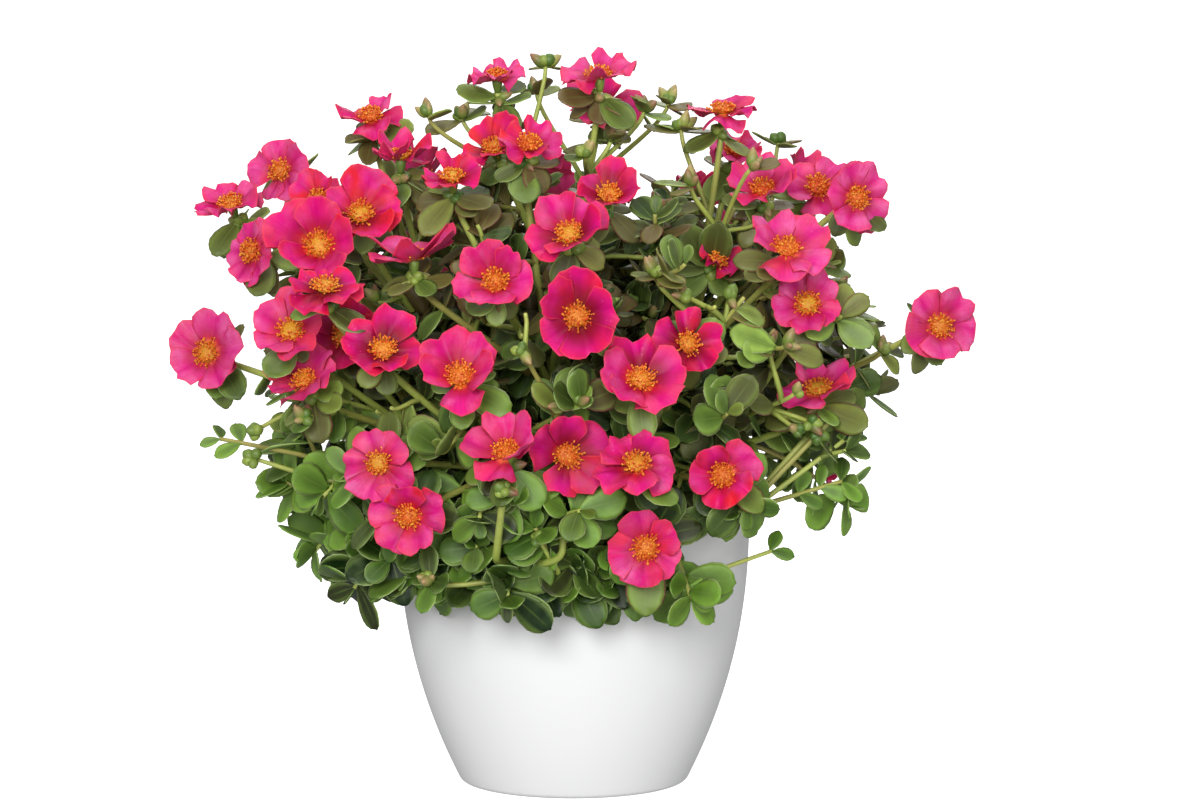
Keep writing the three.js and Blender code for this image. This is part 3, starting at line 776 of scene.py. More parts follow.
def stamen_material():
    r = Recipe("portulaca_stamen", srgb(238, 140, 36), 0.6)
    along, _, tone = r.traits("growth")
    thread = r.ramp(along, [
        (0.0, srgb(228, 196, 50)),
        (0.3, srgb(252, 164, 36)),
        (0.7, srgb(246, 112, 36)),
    ])
    anther = r.ramp(tone, [
        (0.0, srgb(216, 62, 16)),
        (0.5, srgb(244, 118, 26)),
        (0.95, srgb(255, 178, 54)),
    ])
    r.body = r.mix(r.share(along, 0.75, 0.78), thread, anther)
    r.tint(r.part(r.share(tone, 0.0, -1.0), 0.8), srgb(206, 186, 40))
    grain = r.share(r.noise(1300, 2), 0.42, 0.6)
    r.tint(r.part(grain, 0.5), srgb(206, 66, 16))
    r.tint(r.part(r.share(r.noise(1100, 2), 0.56, 0.66), 0.6), srgb(255, 196, 70))
    r.bump(r.noise(1300, 2), 0.5, 0.0008)
    r.constant(Subsurface_Weight=0.1, Subsurface_Scale=0.002)
    return r.done()


def pot_material():
    r = Recipe("pot_white_plastic", srgb(243, 243, 244), 0.32)
    scuff = r.share(r.noise(14, 4), 0.35, 0.7)
    r.body = r.mix(r.part(scuff, 0.25), srgb(245, 245, 246), srgb(240, 240, 241))
    r.rough(r.math("ADD", 0.3, r.part(scuff, 0.1)))
    r.bump(r.noise(900, 2), 0.03, 0.0003)
    return r.done()


def soil_material():
    r = Recipe("potting_soil", srgb(52, 38, 28), 0.95)
    tone = r.traits("growth")[2]
    r.body = r.mix(r.share(r.noise(260, 5), 0.35, 0.7), srgb(34, 24, 18), srgb(84, 62, 44))
    r.tint(r.share(tone, 0.55, 0.9), srgb(126, 98, 70))
    r.bump(r.noise(900, 4), 0.6, 0.001)
    return r.done()


MATERIALS = {
    "petal": petal_material(),
    "leaf": leaf_material(),
    "stem": stem_material(),
    "bud": bud_material(),
    "stamen": stamen_material(),
    "pot": pot_material(),
    "soil": soil_material(),
}


# ---- Pot and soil ----
# A closed shape turned about +Z from a profile of radii and heights; its ends are on the axis.
def turned(profile, sides):
    inner = np.array(profile[1:-1])
    turns = 2 * math.pi * np.arange(sides) / sides
    ring = np.stack([np.cos(turns), np.sin(turns)], axis=1)
    walls = np.empty((len(inner), sides, 3))
    walls[..., :2] = inner[:, None, :1] * ring
    walls[..., 2] = inner[:, None, 1]
    ends = [[0, 0, profile[0][1]], [0, 0, profile[-1][1]]]
    points = np.concatenate([walls.reshape(-1, 3), ends])
    return points, ring_faces(len(inner), sides), np.zeros((len(points), TRAITS))


def corner(centre, radius, start, end, steps):
    angles = np.radians(np.linspace(start, end, steps + 1))
    return [(centre[0] + radius * math.cos(a), centre[1] + radius * math.sin(a)) for a in angles]


def wall_line(low, high, steps, inset):
    return [(wall_radius(z) - inset, z) for z in np.linspace(low, high, steps + 1)]


def pot_profile():
    ring = FOOT_RADIUS - FOOT_WIDTH
    lip = WALL / 2
    inner_foot = wall_radius(FLOOR_TOP) - WALL - FLOOR_CORNER
    return [
        (0, FOOT_RECESS),
        (ring - 1 * MM, FOOT_RECESS),
        (ring, FOOT_RECESS / 2),
        (ring + 0.5 * MM, 0),
        (FOOT_RADIUS - 1 * MM, 0),
        *corner((FOOT_RADIUS, FOOT_CORNER), FOOT_CORNER, -90, -WALL_LEAN, 8),
        *wall_line(FOOT_CORNER + 1 * MM, POT_HEIGHT - lip, 32, 0),
        *corner((RIM_RADIUS - lip, POT_HEIGHT - lip), lip, 20, 160, 8),
        *wall_line(POT_HEIGHT - lip, FLOOR_TOP + FLOOR_CORNER, 20, WALL),
        *corner((inner_foot, FLOOR_TOP + FLOOR_CORNER), FLOOR_CORNER, -20, -90, 5),
        (0, FLOOR_TOP),
    ]


# The pot with its drain holes cut through its floor.
def build_pot():
    shell = Piece()
    shell.add(*turned(pot_profile(), POT_SIDES))
    pot = shell.build("pot_shell", "pot", "pot")
    drills = Piece()
    for index in range(DRAIN_HOLES):
        place = facing(360 / DRAIN_HOLES * index, 0) * DRAIN_CIRCLE
        path = place + np.outer([-10 * MM, 0, 20 * MM], UP)
        drills.add(*tube(path, [DRAIN_RADIUS] * 3, 28, 0.0))
    drill = drills.build("drills", "pot")
    cut = pot.modifiers.new("drain_holes", "BOOLEAN")
    cut.operation = "DIFFERENCE"
    cut.object = drill
    bpy.context.view_layer.update()
    graph = bpy.context.evaluated_depsgraph_get()
    bored = bpy.data.meshes.new_from_object(pot.evaluated_get(graph))
    pot.modifiers.clear()
    pot.data = bored
    bpy.data.objects.remove(drill)


def grain(point, size):
    return noise.noise(Vector(point) / size)


def build_soil():
    edge = wall_radius(SOIL_EDGE) - WALL - 2 * GAP
    inset = WALL + 2 * GAP
    top = [(edge * share, soil_height(edge * share)) for share in np.linspace(0.985, 0.02, SOIL_RINGS)]
    body = Piece()
    points, faces, traits = turned([
        (0, FLOOR_TOP + GAP),
        (wall_radius(FLOOR_TOP) - inset - FLOOR_CORNER, FLOOR_TOP + GAP),
        *wall_line(FLOOR_TOP + FLOOR_CORNER + GAP, SOIL_EDGE, 8, inset),
        *top,
        (0, SOIL_CROWN),
    ], SOIL_SIDES)
    radius = np.hypot(points[:, 0], points[:, 1])
    is_top = (points[:, 2] > SOIL_EDGE - 1 * MM) & (radius < edge * 0.99)
    for index in np.flatnonzero(is_top):
        coarse = grain(points[index], COARSE_GRAIN)
        fine = grain(points[index], FINE_GRAIN)
        points[index, 2] += SOIL_GRAIN * (coarse + 0.7 * fine) - 0.4 * MM
        traits[index, 2] = max(0.0, fine * 0.6)
    body.add(points, faces, traits)
    for index in range(SOIL_LUMPS):
        out = math.sqrt((index + 0.5) / SOIL_LUMPS) * edge * 0.94
        base = facing(index * GOLDEN_TURN, 0) * out
        base[2] = soil_height(out) - 0.6 * MM
        way = unit(facing(rng.uniform(0, 360), rng.uniform(-10, 50)))
        size = rng.uniform(*LUMP_SIZES) * MM
        shape = np.array([0.18, 0.3, 0.26, 0.12]) * size * rng.uniform(0.7, 1.3, 4)
        body.add(*spindle(base, way, size, [0, 0.3, 0.7, 1], shape, 5, rng.uniform(0, 1)))
    body.build("potting_soil_grains", "soil", "potting_soil")


# ---- Flowers: where they sit ----
class Flower:
    def __init__(self, seat, face, radius, index, name=None):
        self.seat = seat
        self.face = face
        self.radius = radius
        self.index = index
        self.name = name


# A front flower's seat, facing and radius, read from its five-fold CAD cup.
def flower_of(name, index):
    points = np.unique(np.round([v.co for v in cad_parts[name].data.vertices], 6), axis=0)
    centre = points.mean(axis=0)
    face = np.linalg.svd(points - centre)[2][2]
    heights = (points - centre) @ face
    flat = np.linalg.norm(points - centre - np.outer(heights, face), axis=1)
    rim = flat > 0.7 * flat.max()
    if heights[rim].mean() < heights[~rim].mean():
        face, heights = -face, -heights
    seat = centre + face * (heights.max() - PETAL_LIFT)
    return Flower(seat, face, flat.max(), index, name)


def back_flower(index):
    bearing = 180 + (((index * GOLDEN_TURN) % 180) - 90) * BACK_SPREAD
    share = ((index + 0.5) / BACK_FLOWERS) ** BACK_CROWDING
    height = BACK_LOWEST + (BACK_HIGHEST - BACK_LOWEST) * share
    rise = (height - BACK_LEVEL_HEIGHT) / MM * BACK_RISE_PER_MM
    rise = min(max(rise, BACK_LEAST_RISE), BACK_MOST_RISE)
    seat = mound_point(bearing, height, around(0.97, 0.06, index, 1))
    face = facing(
        around(bearing, BACK_BEARING_RANGE, index, 2), around(rise, BACK_RISE_RANGE, index, 3)
    )
    radius = around(BACK_DIAMETER, BACK_DIAMETER_RANGE, index, 4) / 2
    return Flower(seat, face, radius, FRONT_FLOWERS + index)


# ---- Stems ----
class Stem:
    def __init__(self, path, radii, kind, name=None):
        self.path = path
        self.radii = radii
        self.kind = kind
        self.name = name
        self.size, self.pairs, self.capsules = 1.0, 0, 0  # of what a trailing twig carries
        steps = np.linalg.norm(np.diff(path, axis=0), axis=1)
        self.length = steps.sum()
        self.shares = np.concatenate([[0], np.cumsum(steps)]) / self.length

    def at(self, share):
        return np.array([np.interp(share, self.shares, self.path[:, k]) for k in range(3)])

    def way(self, share):
        return unit(self.at(min(1, share + 0.02)) - self.at(max(0, share - 0.02)))


# A curve from one point to another that leaves and arrives the given ways.
def stem_path(start, leaving, end, arriving, ease=STEM_EASE):
    reach = np.linalg.norm(end - start) * ease
    ends = [start, start + leaving * reach, end - arriving * min(reach, LONGEST_TURN), end]
    t = np.linspace(0, 1, STEM_POINTS)[:, None]
    weights = [(1 - t) ** 3, 3 * t * (1 - t) ** 2, 3 * t * t * (1 - t), t**3]
    return sum(weight * point for weight, point in zip(weights, ends))


class Shoot:
    def __init__(self, index, bearing, rise):
        self.name = f"shoot_{index + 1:02d}"
        self.lean = facing(bearing, rise)
        out = PLANTING_RADIUS * math.cos(math.radians(rise))
        self.root = facing(bearing, 0) * out
        self.root[2] = soil_height(out) + GAP
        self.flowers = []
        self.sprigs = []
        self.stems = []
        self.twigs = []


shoots = [Shoot(index, bearing, rise) for index, (bearing, rise) in enumerate(SHOOTS)]


def shoot_for(point):
    way = unit(point - CROWN)
    return max(shoots, key=lambda shoot: shoot.lean @ way)


front_flowers = [flower_of(f"flower_{i + 1:02d}", i) for i in range(FRONT_FLOWERS)]
back_flowers = [back_flower(i) for i in range(BACK_FLOWERS)]
flowers = front_flowers + back_flowers
for flower in flowers:
    flower.shoot = shoot_for(flower.seat)
    flower.shoot.flowers.append(flower)
SEATS = np.array([flower.seat for flower in flowers])
FACES = np.array([flower.face for flower in flowers])
FLOWER_RADII = np.array([flower.radius for flower in flowers])


def sprig_tips():
    number = 0
    for count, height, share in SPRIG_TIERS:
        for i in range(count):
            bearing = (i + 0.5 * vary(number, 5)) * 360 / count + height / MM
            tip = mound_point(bearing, around(height, SPRIG_HEIGHT_RANGE, number, 6), share)
            if height > OPEN_BELOW or not OPEN_FROM < bearing % 360 < OPEN_TO:
                yield tip
            number += 1


def sprig_way(tip):
    rise = UPRIGHT_RISE if tip[2] > HANGING_HEIGHT else HANGING_RISE
    return facing(bearing_of(tip), rise)


# A shoot's stems as in the CAD model: one main stem, then a stalk to each flower and a twig
# to each sprig that fork one after another along its upper part.
def grow_stems(shoot):
    tips = [flower.seat for flower in shoot.flowers] + shoot.sprigs
    middle = np.mean(tips, axis=0)
    onward = unit(middle - shoot.root)
    climbing = unit(onward + UP * TWIG_CLIMB)
    head = shoot.root + (middle - shoot.root) * MAIN_SHARE + UP * MAIN_LIFT
    main = Stem(stem_path(shoot.root, UP, head, onward), MAIN_RADII, "main")
    shoot.stems.append(main)
    forks = [
        main.at(FORKS_FROM + (FORKS_TO - FORKS_FROM) * index / len(tips))
        for index in range(len(tips))
    ]
    for fork, flower in zip(forks, shoot.flowers):
        end = flower.seat - flower.face * CALYX_LENGTH
        flower.stem = Stem(stem_path(fork, onward, end, flower.face), STALK_RADII, "stalk")
        shoot.stems.append(flower.stem)
    for fork, tip in zip(forks[len(shoot.flowers):], shoot.sprigs):
        twig = Stem(stem_path(fork, climbing, tip, sprig_way(tip)), TWIG_RADII, "sprig")
        shoot.stems.append(twig)
        shoot.twigs.append(twig)


for tip in sprig_tips():
    shoot_for(tip).sprigs.append(tip)
for shoot in shoots:
    grow_stems(shoot)


# ---- Room ----
FACE_ROOM = 24 * MM  # kept free in front of a flower, and the next two behind and beside it
BACK_ROOM = 3.5 * MM
SIDE_ROOM = 2 * MM
DISC_SHARE = 0.96  # the part of a flower's radius that nothing may hide
BARE_STALK = (0.5, 0.96)
STALK_ROOM = 5.5 * MM


# Which of the points stand in the room in front of a flower.
def in_a_flower(points):
    out = points[:, None, :] - SEATS
    ahead = np.einsum("nfk,fk->nf", out, FACES)
    flat = np.sqrt(np.maximum(0, (out**2).sum(axis=2) - ahead**2))
    near = (ahead > -BACK_ROOM) & (ahead < FACE_ROOM)
    return (near & (flat < FLOWER_RADII + SIDE_ROOM)).any(axis=1)


# Which of the points stand between the photograph's viewpoint and a front flower.
def hides_a_flower(points):
    way = points - SIGHT
    seats, faces = SEATS[:FRONT_FLOWERS], FACES[:FRONT_FLOWERS]
    radii = FLOWER_RADII[:FRONT_FLOWERS]
    slope = way @ faces.T
    slope = np.where(np.abs(slope) < 1e-6, 1e-6, slope)
    reach = ((seats - SIGHT) * faces).sum(axis=1) / slope
    hit = SIGHT + reach[..., None] * way[:, None, :]
    on_disc = np.linalg.norm(hit - seats, axis=2) < radii * DISC_SHARE
    return (on_disc & (reach > 1.0)).any(axis=1)


# The upper parts of the front flowers' stalks, which the photograph shows bare, as sighted.
STALK_POINTS = np.array([
    flower.stem.at(share) for flower in front_flowers for share in np.linspace(*BARE_STALK, 6)
])
STALK_REACH = np.linalg.norm(STALK_POINTS - SIGHT, axis=1)
STALK_WAYS = (STALK_POINTS - SIGHT) / STALK_REACH[:, None]


# Which of the points stand between the photograph's viewpoint and a front flower's stalk.
def hides_a_stalk(points):
    reach = np.linalg.norm(points - SIGHT, axis=1)
    cosines = ((points - SIGHT) / reach[:, None]) @ STALK_WAYS.T
    aside = np.sqrt(np.maximum(0, 1 - cosines**2)) * reach[:, None]
    return ((aside < STALK_ROOM) & (reach[:, None] < STALK_REACH)).any(axis=1)


# Which of the points are inside the pot's wall, or within a margin of it or of the soil.
def in_the_pot(points, margin):
    out = np.hypot(points[:, 0], points[:, 1])
    below_rim = points[:, 2] < POT_HEIGHT + margin
    outside = out > wall_radius(points[:, 2]) + margin
    inside = (out < RIM_RADIUS - 2 * WALL - margin) & (points[:, 2] > SOIL_CROWN + margin)
    return below_rim & ~outside & ~inside


# ---- Twigs beyond those of the CAD model ----
def fork_points():
    places, ways, owners = [], [], []
    for shoot in shoots:
        for stem in shoot.stems:
            first, last = FORK_SHARES.get(stem.kind, TWIG_FORK_SHARES)
            for share in np.linspace(first, last, FORKS_PER_STEM):
                places.append(stem.at(share))
                ways.append(stem.way(share))
                owners.append(shoot)
    return np.array(places), np.array(ways), owners


def tip_rise(height):
    return float(np.interp(height / MM, TIP_HEIGHTS, TIP_RISES))


# A twig from the nearest stem that lies further in and has a clear way to it, if there is one.
# It passes a bend on its way, if one is given.
def grow_twig(tip, way, forks, kind, ease=TWIG_EASE, name=None, bend=None):
    places, ways, owners = forks
    first = tip if bend is None else bend
    first_way = way if bend is None else unit(tip - bend)
    gap = first - places
    distance = np.linalg.norm(gap, axis=1)
    inward = np.linalg.norm(places - CROWN, axis=1) < np.linalg.norm(first - CROWN) - TWIG_MARGIN
    ahead = (gap * ways).sum(axis=1) > 0.1 * distance
    cost = np.where(inward & ahead, distance, np.inf)
    if kind in ("twig", "inner") and hides_a_flower(tip[None]).any():
        return None
    for best in np.argsort(cost)[:TWIG_TRIES]:
        if not np.isfinite(cost[best]):
            break
        leaving = unit(ways[best] + unit(gap[best]) + UP * 0.3)
        path = stem_path(places[best], leaving, first, first_way, ease)
        if bend is not None:
            onward = stem_path(bend, first_way, tip, way, ease)
            path = np.concatenate([path, onward[1:]])
        inner = path[2:]
        if not in_a_flower(inner).any() and not in_the_pot(inner, TWIG_ROOM).any():
            twig = Stem(path, TWIG_RADII, kind, name)
            owners[best].stems.append(twig)
            owners[best].twigs.append(twig)
            return twig
    return None


# Radii and heights along the leafy dome's outline from its skirt to its top, with the area
# that lies below each.
def dome_outline():
    angles = np.radians(np.linspace(-75, 90, 200))
    up = np.sign(angles) * np.abs(np.sin(angles)) ** (2 / DOME_SHOULDER)
    radii = DOME_RADIUS * np.cos(angles) ** (2 / DOME_SHOULDER)
    heights = DOME_WAIST + np.where(up > 0, DOME_UP, DOME_DOWN) * up
    bands = np.hypot(np.diff(radii), np.diff(heights)) * (radii[1:] + radii[:-1])
    return radii, heights, np.concatenate([[0], np.cumsum(bands)]) / bands.sum()


def skirt_height(bearing):
    bearing = (bearing + 180) % 360 - 180
    return np.interp(bearing, [b for b, _ in SKIRT], [z for _, z in SKIRT]) * MM


def dome_tip(outline, share, bearing, size):
    radii, heights, shares = outline
    radius = np.interp(share, shares, radii) * size
    height = DOME_WAIST + (np.interp(share, shares, heights) - DOME_WAIST) * size
    tip = facing(bearing, 0) * radius
    tip[2] = height
    if height < POT_HEIGHT:
        tip[:2] *= max(1.0, (wall_radius(height) + WALL_ROOM) / radius)
    return tip


def grow_layers():
    outline = dome_outline()
    for count, crowding, least, most, kind in TWIG_LAYERS:
        forks = fork_points()
        for i in range(count):
            bearing = i * GOLDEN_TURN + jitter(12)
            share = ((i + 0.5) / count) ** crowding
            tip = dome_tip(outline, share, bearing, rng.uniform(least, most))
            rise = tip_rise(tip[2]) + jitter(15)
            way = facing(bearing + jitter(25), rise)
            if tip[2] > skirt_height(bearing):
                grow_twig(tip, way, forks, kind)


def grow_rim_rings():
    forks = fork_points()
    for count, height, beyond in RIM_RINGS:
        for i in range(count):
            bearing = (i + jitter(0.35)) * 360 / count
            level = height + jitter(5) * MM
            tip = facing(bearing, 0) * (wall_radius(level) + beyond + rng.uniform(-2, 6) * MM)
            tip[2] = level
            way = facing(bearing + jitter(30), tip_rise(level) + jitter(20))
            if level > skirt_height(bearing):
                grow_twig(tip, way, forks, "twig")


def sighted(across, height, forward):
    on_plane = np.array([across, 0, height]) * MM
    return on_plane + (SIGHT - on_plane) * forward * MM / -SIGHT[1]


# The bud heads, the bunches of capsules and the trailing twigs that the photograph shows.
def grow_features():
    forks = fork_points()
    for number, (across, height, forward) in enumerate(HEADS, 1):
        tip = sighted(across, height, forward)
        way = unit(unit(tip - CROWN) + UP)
        grow_twig(tip, way, forks, "head", HEAD_EASE, f"head_{number:02d}")
    for across, height, forward in BUNCHES:
        tip = sighted(across, height, forward)
        grow_twig(tip, facing(0, 0), forks, "bunch", HEAD_EASE)
    for bend, tip, thickness, size, pairs, capsules in TRAILERS:
        bend, tip = sighted(*bend), sighted(*tip)
        twig = grow_twig(tip, unit(tip - bend), forks, "trailer", bend=bend)
        if twig:
            twig.radii = tuple(radius * thickness for radius in TWIG_RADII)
            twig.size, twig.pairs, twig.capsules = size, pairs, capsules


grow_features()
grow_layers()
grow_rim_rings()


# ---- Leaves, one by one ----
# A thick blade from the origin along +X with its upper side towards +Z.
def leaf_shape(grid, length, width, tone, flush):
    bloom = max(0.0, rng.uniform(-0.8, 1.0))
    along, halves, across = (np.array(shares) for shares in LEAF_GRIDS[grid])
    fold, droop, curl = rng.uniform(*LEAF_FOLD), rng.uniform(*LEAF_DROOP), jitter(LEAF_CURL)
    u, v = np.meshgrid(along, across, indexing="ij")
    half = halves[:, None] * width / 2
    x = length * (u - 0.05 * v * v * (u > 0.85))
    y = half * v
    z = fold * np.abs(y) - droop * length * u * u + curl * half * v * v * v * u
    thickness = LEAF_THICKNESS * (1 - 0.75 * np.abs(v) ** 3) * (0.75 + 0.25 * np.sin(u * math.pi))
    return sheet(np.stack([x, y, z], axis=2), thickness, along, across, tone, flush, bloom)


# Adds a blade that points a way from its base, with its upper side as near to a direction as it
# can be.
def lay_blade(piece, blade, base, way, upper):
    points, faces, traits = blade
    side = unit(np.cross(upper, way))
    piece.add(base + points @ np.stack([way, side, np.cross(way, side)]), faces, traits)


def hangs_too_low(point):
    return point[2] < skirt_height(bearing_of(point)) - HANGING_LEAF


# Whether a leaf of a stem has room: clear of the pot and of the flowers, and not lower than the
# foliage hangs. Only the leaves of a flower's own whorl may stand before another flower.
def has_room(stem, points, is_whorl):
    if in_the_pot(points, LEAF_ROOM).any() or in_a_flower(points).any():
        return False
    if stem.kind in ("twig", "inner") and hangs_too_low(points[-1]):
        return False
    return is_whorl or not (hides_a_flower(points).any() or hides_a_stalk(points).any())


# A leaf at a point of a stem, turned round it and leaning from it, both in degrees.
def leaf_at(piece, stem, share, turn, lean, size, tone, is_whorl=False):
    base, axis = stem.at(share), stem.way(share)
    way = leaning(axis, side_of(axis, turn), lean)
    outward = unit(base - CROWN) * LEAF_OUTWARD
    sunward = facing(0, 40) * LEAF_SUNWARD * np.interp(base[1] / MM, [0, 60], [1, 0])
    upper = unit(0.7 * axis + outward + sunward + rng.normal(0, 0.3, 3))
    reach = np.array([0.45, 0.75, 1.0]) * LEAF_LENGTH * size
    if not has_room(stem, base + np.outer(reach, way), is_whorl):
        return
    high = np.interp(base[2] / MM, [150, 260], [0, 1])
    flush = (0.25 + 0.75 * high) * max(0.0, rng.uniform(-0.35, 1.0))
    is_inner = stem.kind == "inner"
    length = LEAF_LENGTH * size * rng.uniform(0.8, 1.15)
    width = LEAF_WIDTH * size * rng.uniform(0.8, 1.12)
    # Inner leaves are darkened as painted shade deep inside the foliage.
    grid, shade = ("plain", INNER_SHADE) if is_inner else ("fine", 1.0)
    blade = leaf_shape(grid, length, width, tone * shade, flush)
    lay_blade(piece, blade, base, way, upper)


# Small leaves in pairs near the tip of a trailing twig, their upper sides towards the viewer.
def trailer_leaves(piece, twig):
    for pair in range(twig.pairs):
        share = 0.995 - pair * TRAILER_STEP / twig.length
        base, axis = twig.at(share), twig.way(share)
        upper = unit(facing(0, 35) + rng.normal(0, 0.25, 3))
        side = unit(np.cross(upper, axis))
        for turn in (-1, 1):
            way = leaning(axis, turn * side, rng.uniform(30, 75))
            grown = twig.size * rng.uniform(0.8, 1.15)
            length, width = LEAF_LENGTH * grown, LEAF_WIDTH * grown * TRAILER_WIDTH
            blade = leaf_shape("fine", length, width, rng.uniform(0.3, 0.8), 0.0)
            lay_blade(piece, blade, base, way, upper)


# The leaves that stand out in the photograph, on the stems that carry them.
def accent_leaves(piece, stem, name):
    for owner, bearing, rise, size, tone, flush in ACCENT_LEAVES:
        if owner == name:
            way = facing(bearing, rise)
            upper = unit(facing(0, 35) + rng.normal(0, 0.12, 3))
            length, width = LEAF_LENGTH * size, LEAF_WIDTH * size * ACCENT_WIDTH
            blade = leaf_shape("fine", length, width, tone, flush)
            lay_blade(piece, blade, stem.at(0.985), way, upper)


# The share of its tone that a twig's foliage keeps, which painted shade makes smaller low down at the
# front.
def tone_kept_in_shade(tip):
    low = np.interp(tip[2] / MM, LOW_FRONT_SHADE_HEIGHTS, [1, 0])
    front = np.interp(abs(bearing_of(tip)), LOW_FRONT_SHADE_BEARINGS, [1, 0])
    return 1 - LOW_FRONT_SHADE * low * front


# A rosette at the tip of a twig and opposite pairs of leaves below it.
def leafy_twig(piece, twig, size):
    tone = rng.uniform(0, 1) ** 1.2 * tone_kept_in_shade(twig.path[-1])
    start = rng.uniform(0, 360)
    for i in range(ROSETTE_LEAVES):
        share = 1 - i * ROSETTE_STEP / twig.length
        lean = np.interp(i, [0, 2, ROSETTE_LEAVES - 1], [35, 60, 85]) + jitter(8)
        grown = size * np.interp(i, [0, 1, 3], [0.45, 0.75, 1.0])
        leaf_at(piece, twig, share, start + i * GOLDEN_TURN, lean, grown, leaf_tone(tone))
    start = rng.uniform(0, 360)
    for pair in range(PAIRS):
        share = 1 - (PAIRS_BELOW + pair * PAIR_STEP) / twig.length
        if share < 0.25:
            break
        for turn in (0, 180):
            round_stem = start + 90 * pair + turn + jitter(15)
            lean = rng.uniform(60, 85)
            leaf_at(piece, twig, share, round_stem, lean, size, leaf_tone(tone))


# A few narrower leaves spread right below a head of buds.
def head_whorl(piece, twig):
    start = rng.uniform(0, 360)
    for i in range(HEAD_LEAVES):
        turn = start + i * 360 / HEAD_LEAVES + jitter(20)
        lean, size, tone = rng.uniform(65, 100), rng.uniform(0.6, 0.95), rng.uniform(0.2, 1)
        leaf_at(piece, twig, 0.985 - 0.01 * i, turn, lean, size, tone)


def leaf_tone(middle):
    return float(np.clip(middle + jitter(0.3), 0, 1))


# A whorl of leaves right below a flower, some of them drooping.
def flower_whorl(piece, flower):
    start = rng.uniform(0, 360)
    for i in range(WHORL_LEAVES):
        share, turn = 0.99 - 0.006 * i, start + i * GOLDEN_TURN
        lean, size, tone = rng.uniform(75, 130), rng.uniform(0.7, 1.1), rng.uniform(0, 0.85)
        leaf_at(piece, flower.stem, share, turn, lean, size, tone, is_whorl=True)


# Pairs of leaves along the lower part of a flower's stalk, where other leaves stand round it.
def stalk_pairs(piece, stem):
    for share in np.arange(0.4, 0.85, 0.13):
        if stem.at(share)[2] < DOME_WAIST + 0.7 * DOME_UP:
            turn, tone = rng.uniform(0, 360), rng.uniform(0, 0.8)
            for half in (0, 180):
                leaf_at(piece, stem, share, turn + half, rng.uniform(50, 80), 0.85, leaf_tone(tone))


# ---- Buds, seed capsules and calyces ----
def bud(piece, base, way, length, tone):
    radii = np.array([0.5, 1.0, 1.08, 0.92, 0.6, 0.16]) * length * 0.29
    piece.add(*spindle(base, way, length, [0, 0.18, 0.4, 0.6, 0.82, 1], radii, 7, tone))


def capsule(piece, base, way, size, tone):
    radii = np.array([0.35, 0.85, 1.0, 0.8, 0.3]) * size / 2
    grown = np.array([0, 0.1, 0.2, 0.3, 0.36])
    piece.add(*spindle(base, way, size, [0, 0.2, 0.5, 0.8, 1], radii, 7, tone, grown))


def calyx(piece, flower):
    base = flower.seat - flower.face * CALYX_LENGTH
    radii = np.array([1.6, 2.1, 2.6, 2.8, 2.2]) * MM
    grown = np.array([0, 0.1, 0.2, 0.35, 0.45])
    piece.add(*spindle(base, flower.face, CALYX_LENGTH + 0.5 * MM, [0, 0.25, 0.55, 0.85, 1],
                       radii, 10, rng.uniform(0.2, 0.8), grown))


# Buds and capsules round a point of a stem.
def cluster(piece, stem, kind, count, share=1.0):
    lean_range, capsules = CLUSTERS[kind]
    base, axis = stem.at(share), stem.way(share)
    start = rng.uniform(0, 360)
    for i in range(count):
        way = leaning(axis, side_of(axis, start + i * GOLDEN_TURN), rng.uniform(*lean_range))
        if rng.random() < capsules:
            capsule(piece, base, way, rng.uniform(5, 7) * MM, rng.uniform(0, 1))
        else:
            bud(piece, base, way, rng.uniform(7, 11) * MM, rng.uniform(0, 1))


# ---- Petals and stamens ----
# How far a petal reaches, as a share of its length: less at its corners and at the notch in its
# middle, a little more on one side, and scalloped.
def petal_outline(own, u, v):
    outline = 1 - own.uniform(*CORNER_CUT) * np.abs(v) ** 2.8 + own.uniform(*LOPSIDED) * v
    outline -= own.uniform(*NOTCH_DEPTH) * np.exp(-((v / NOTCH_WIDTH) ** 2)) * u**3
    scallop = own.uniform(*SCALLOP_DEPTH)
    return outline - scallop * np.abs(np.sin(own.uniform(*SCALLOP_TURNS) * v + own.uniform(0, 3))) * u**3


# How steeply a petal climbs along its length, in radians: it is flat round the stamens, rises
# like a bowl and leans out at its rim.
def petal_climb(own, cup, steps):
    rise = math.radians(cup + np.clip(own.normal(-2, PETAL_RISE_SPREAD), *PETAL_RISE_LIMITS))
    rim = np.maximum(0, (steps - RIM_FROM) / (1 - RIM_FROM)) ** 1.5
    return rise * (0.3 + 1.9 * steps - 0.95 * steps**2) - math.radians(own.uniform(*RIM_LEAN)) * rim


# What lifts a petal from a smooth bowl, in millimetres: curling margins, a twist, its two
# swelling halves, waves at its rim and fine creases.
def petal_relief(own, u, v, ridge):
    relief = own.uniform(*MARGIN_CURL) * v * v * u * (1.4 - u)
    relief += (1.4 + own.normal(0, PETAL_TWIST)) * v * u
    relief += own.uniform(*HALF_SWELL) * (ridge - 0.5) * u**0.7
    relief += own.uniform(*RIM_WAVE) * np.sin(own.uniform(3, 7) * v + own.uniform(0, 6)) * u**2.5
    crease = own.uniform(*FINE_CREASE)
    return relief + crease * np.sin(9 * v + own.uniform(5, 9) * u + own.uniform(0, 6)) * u


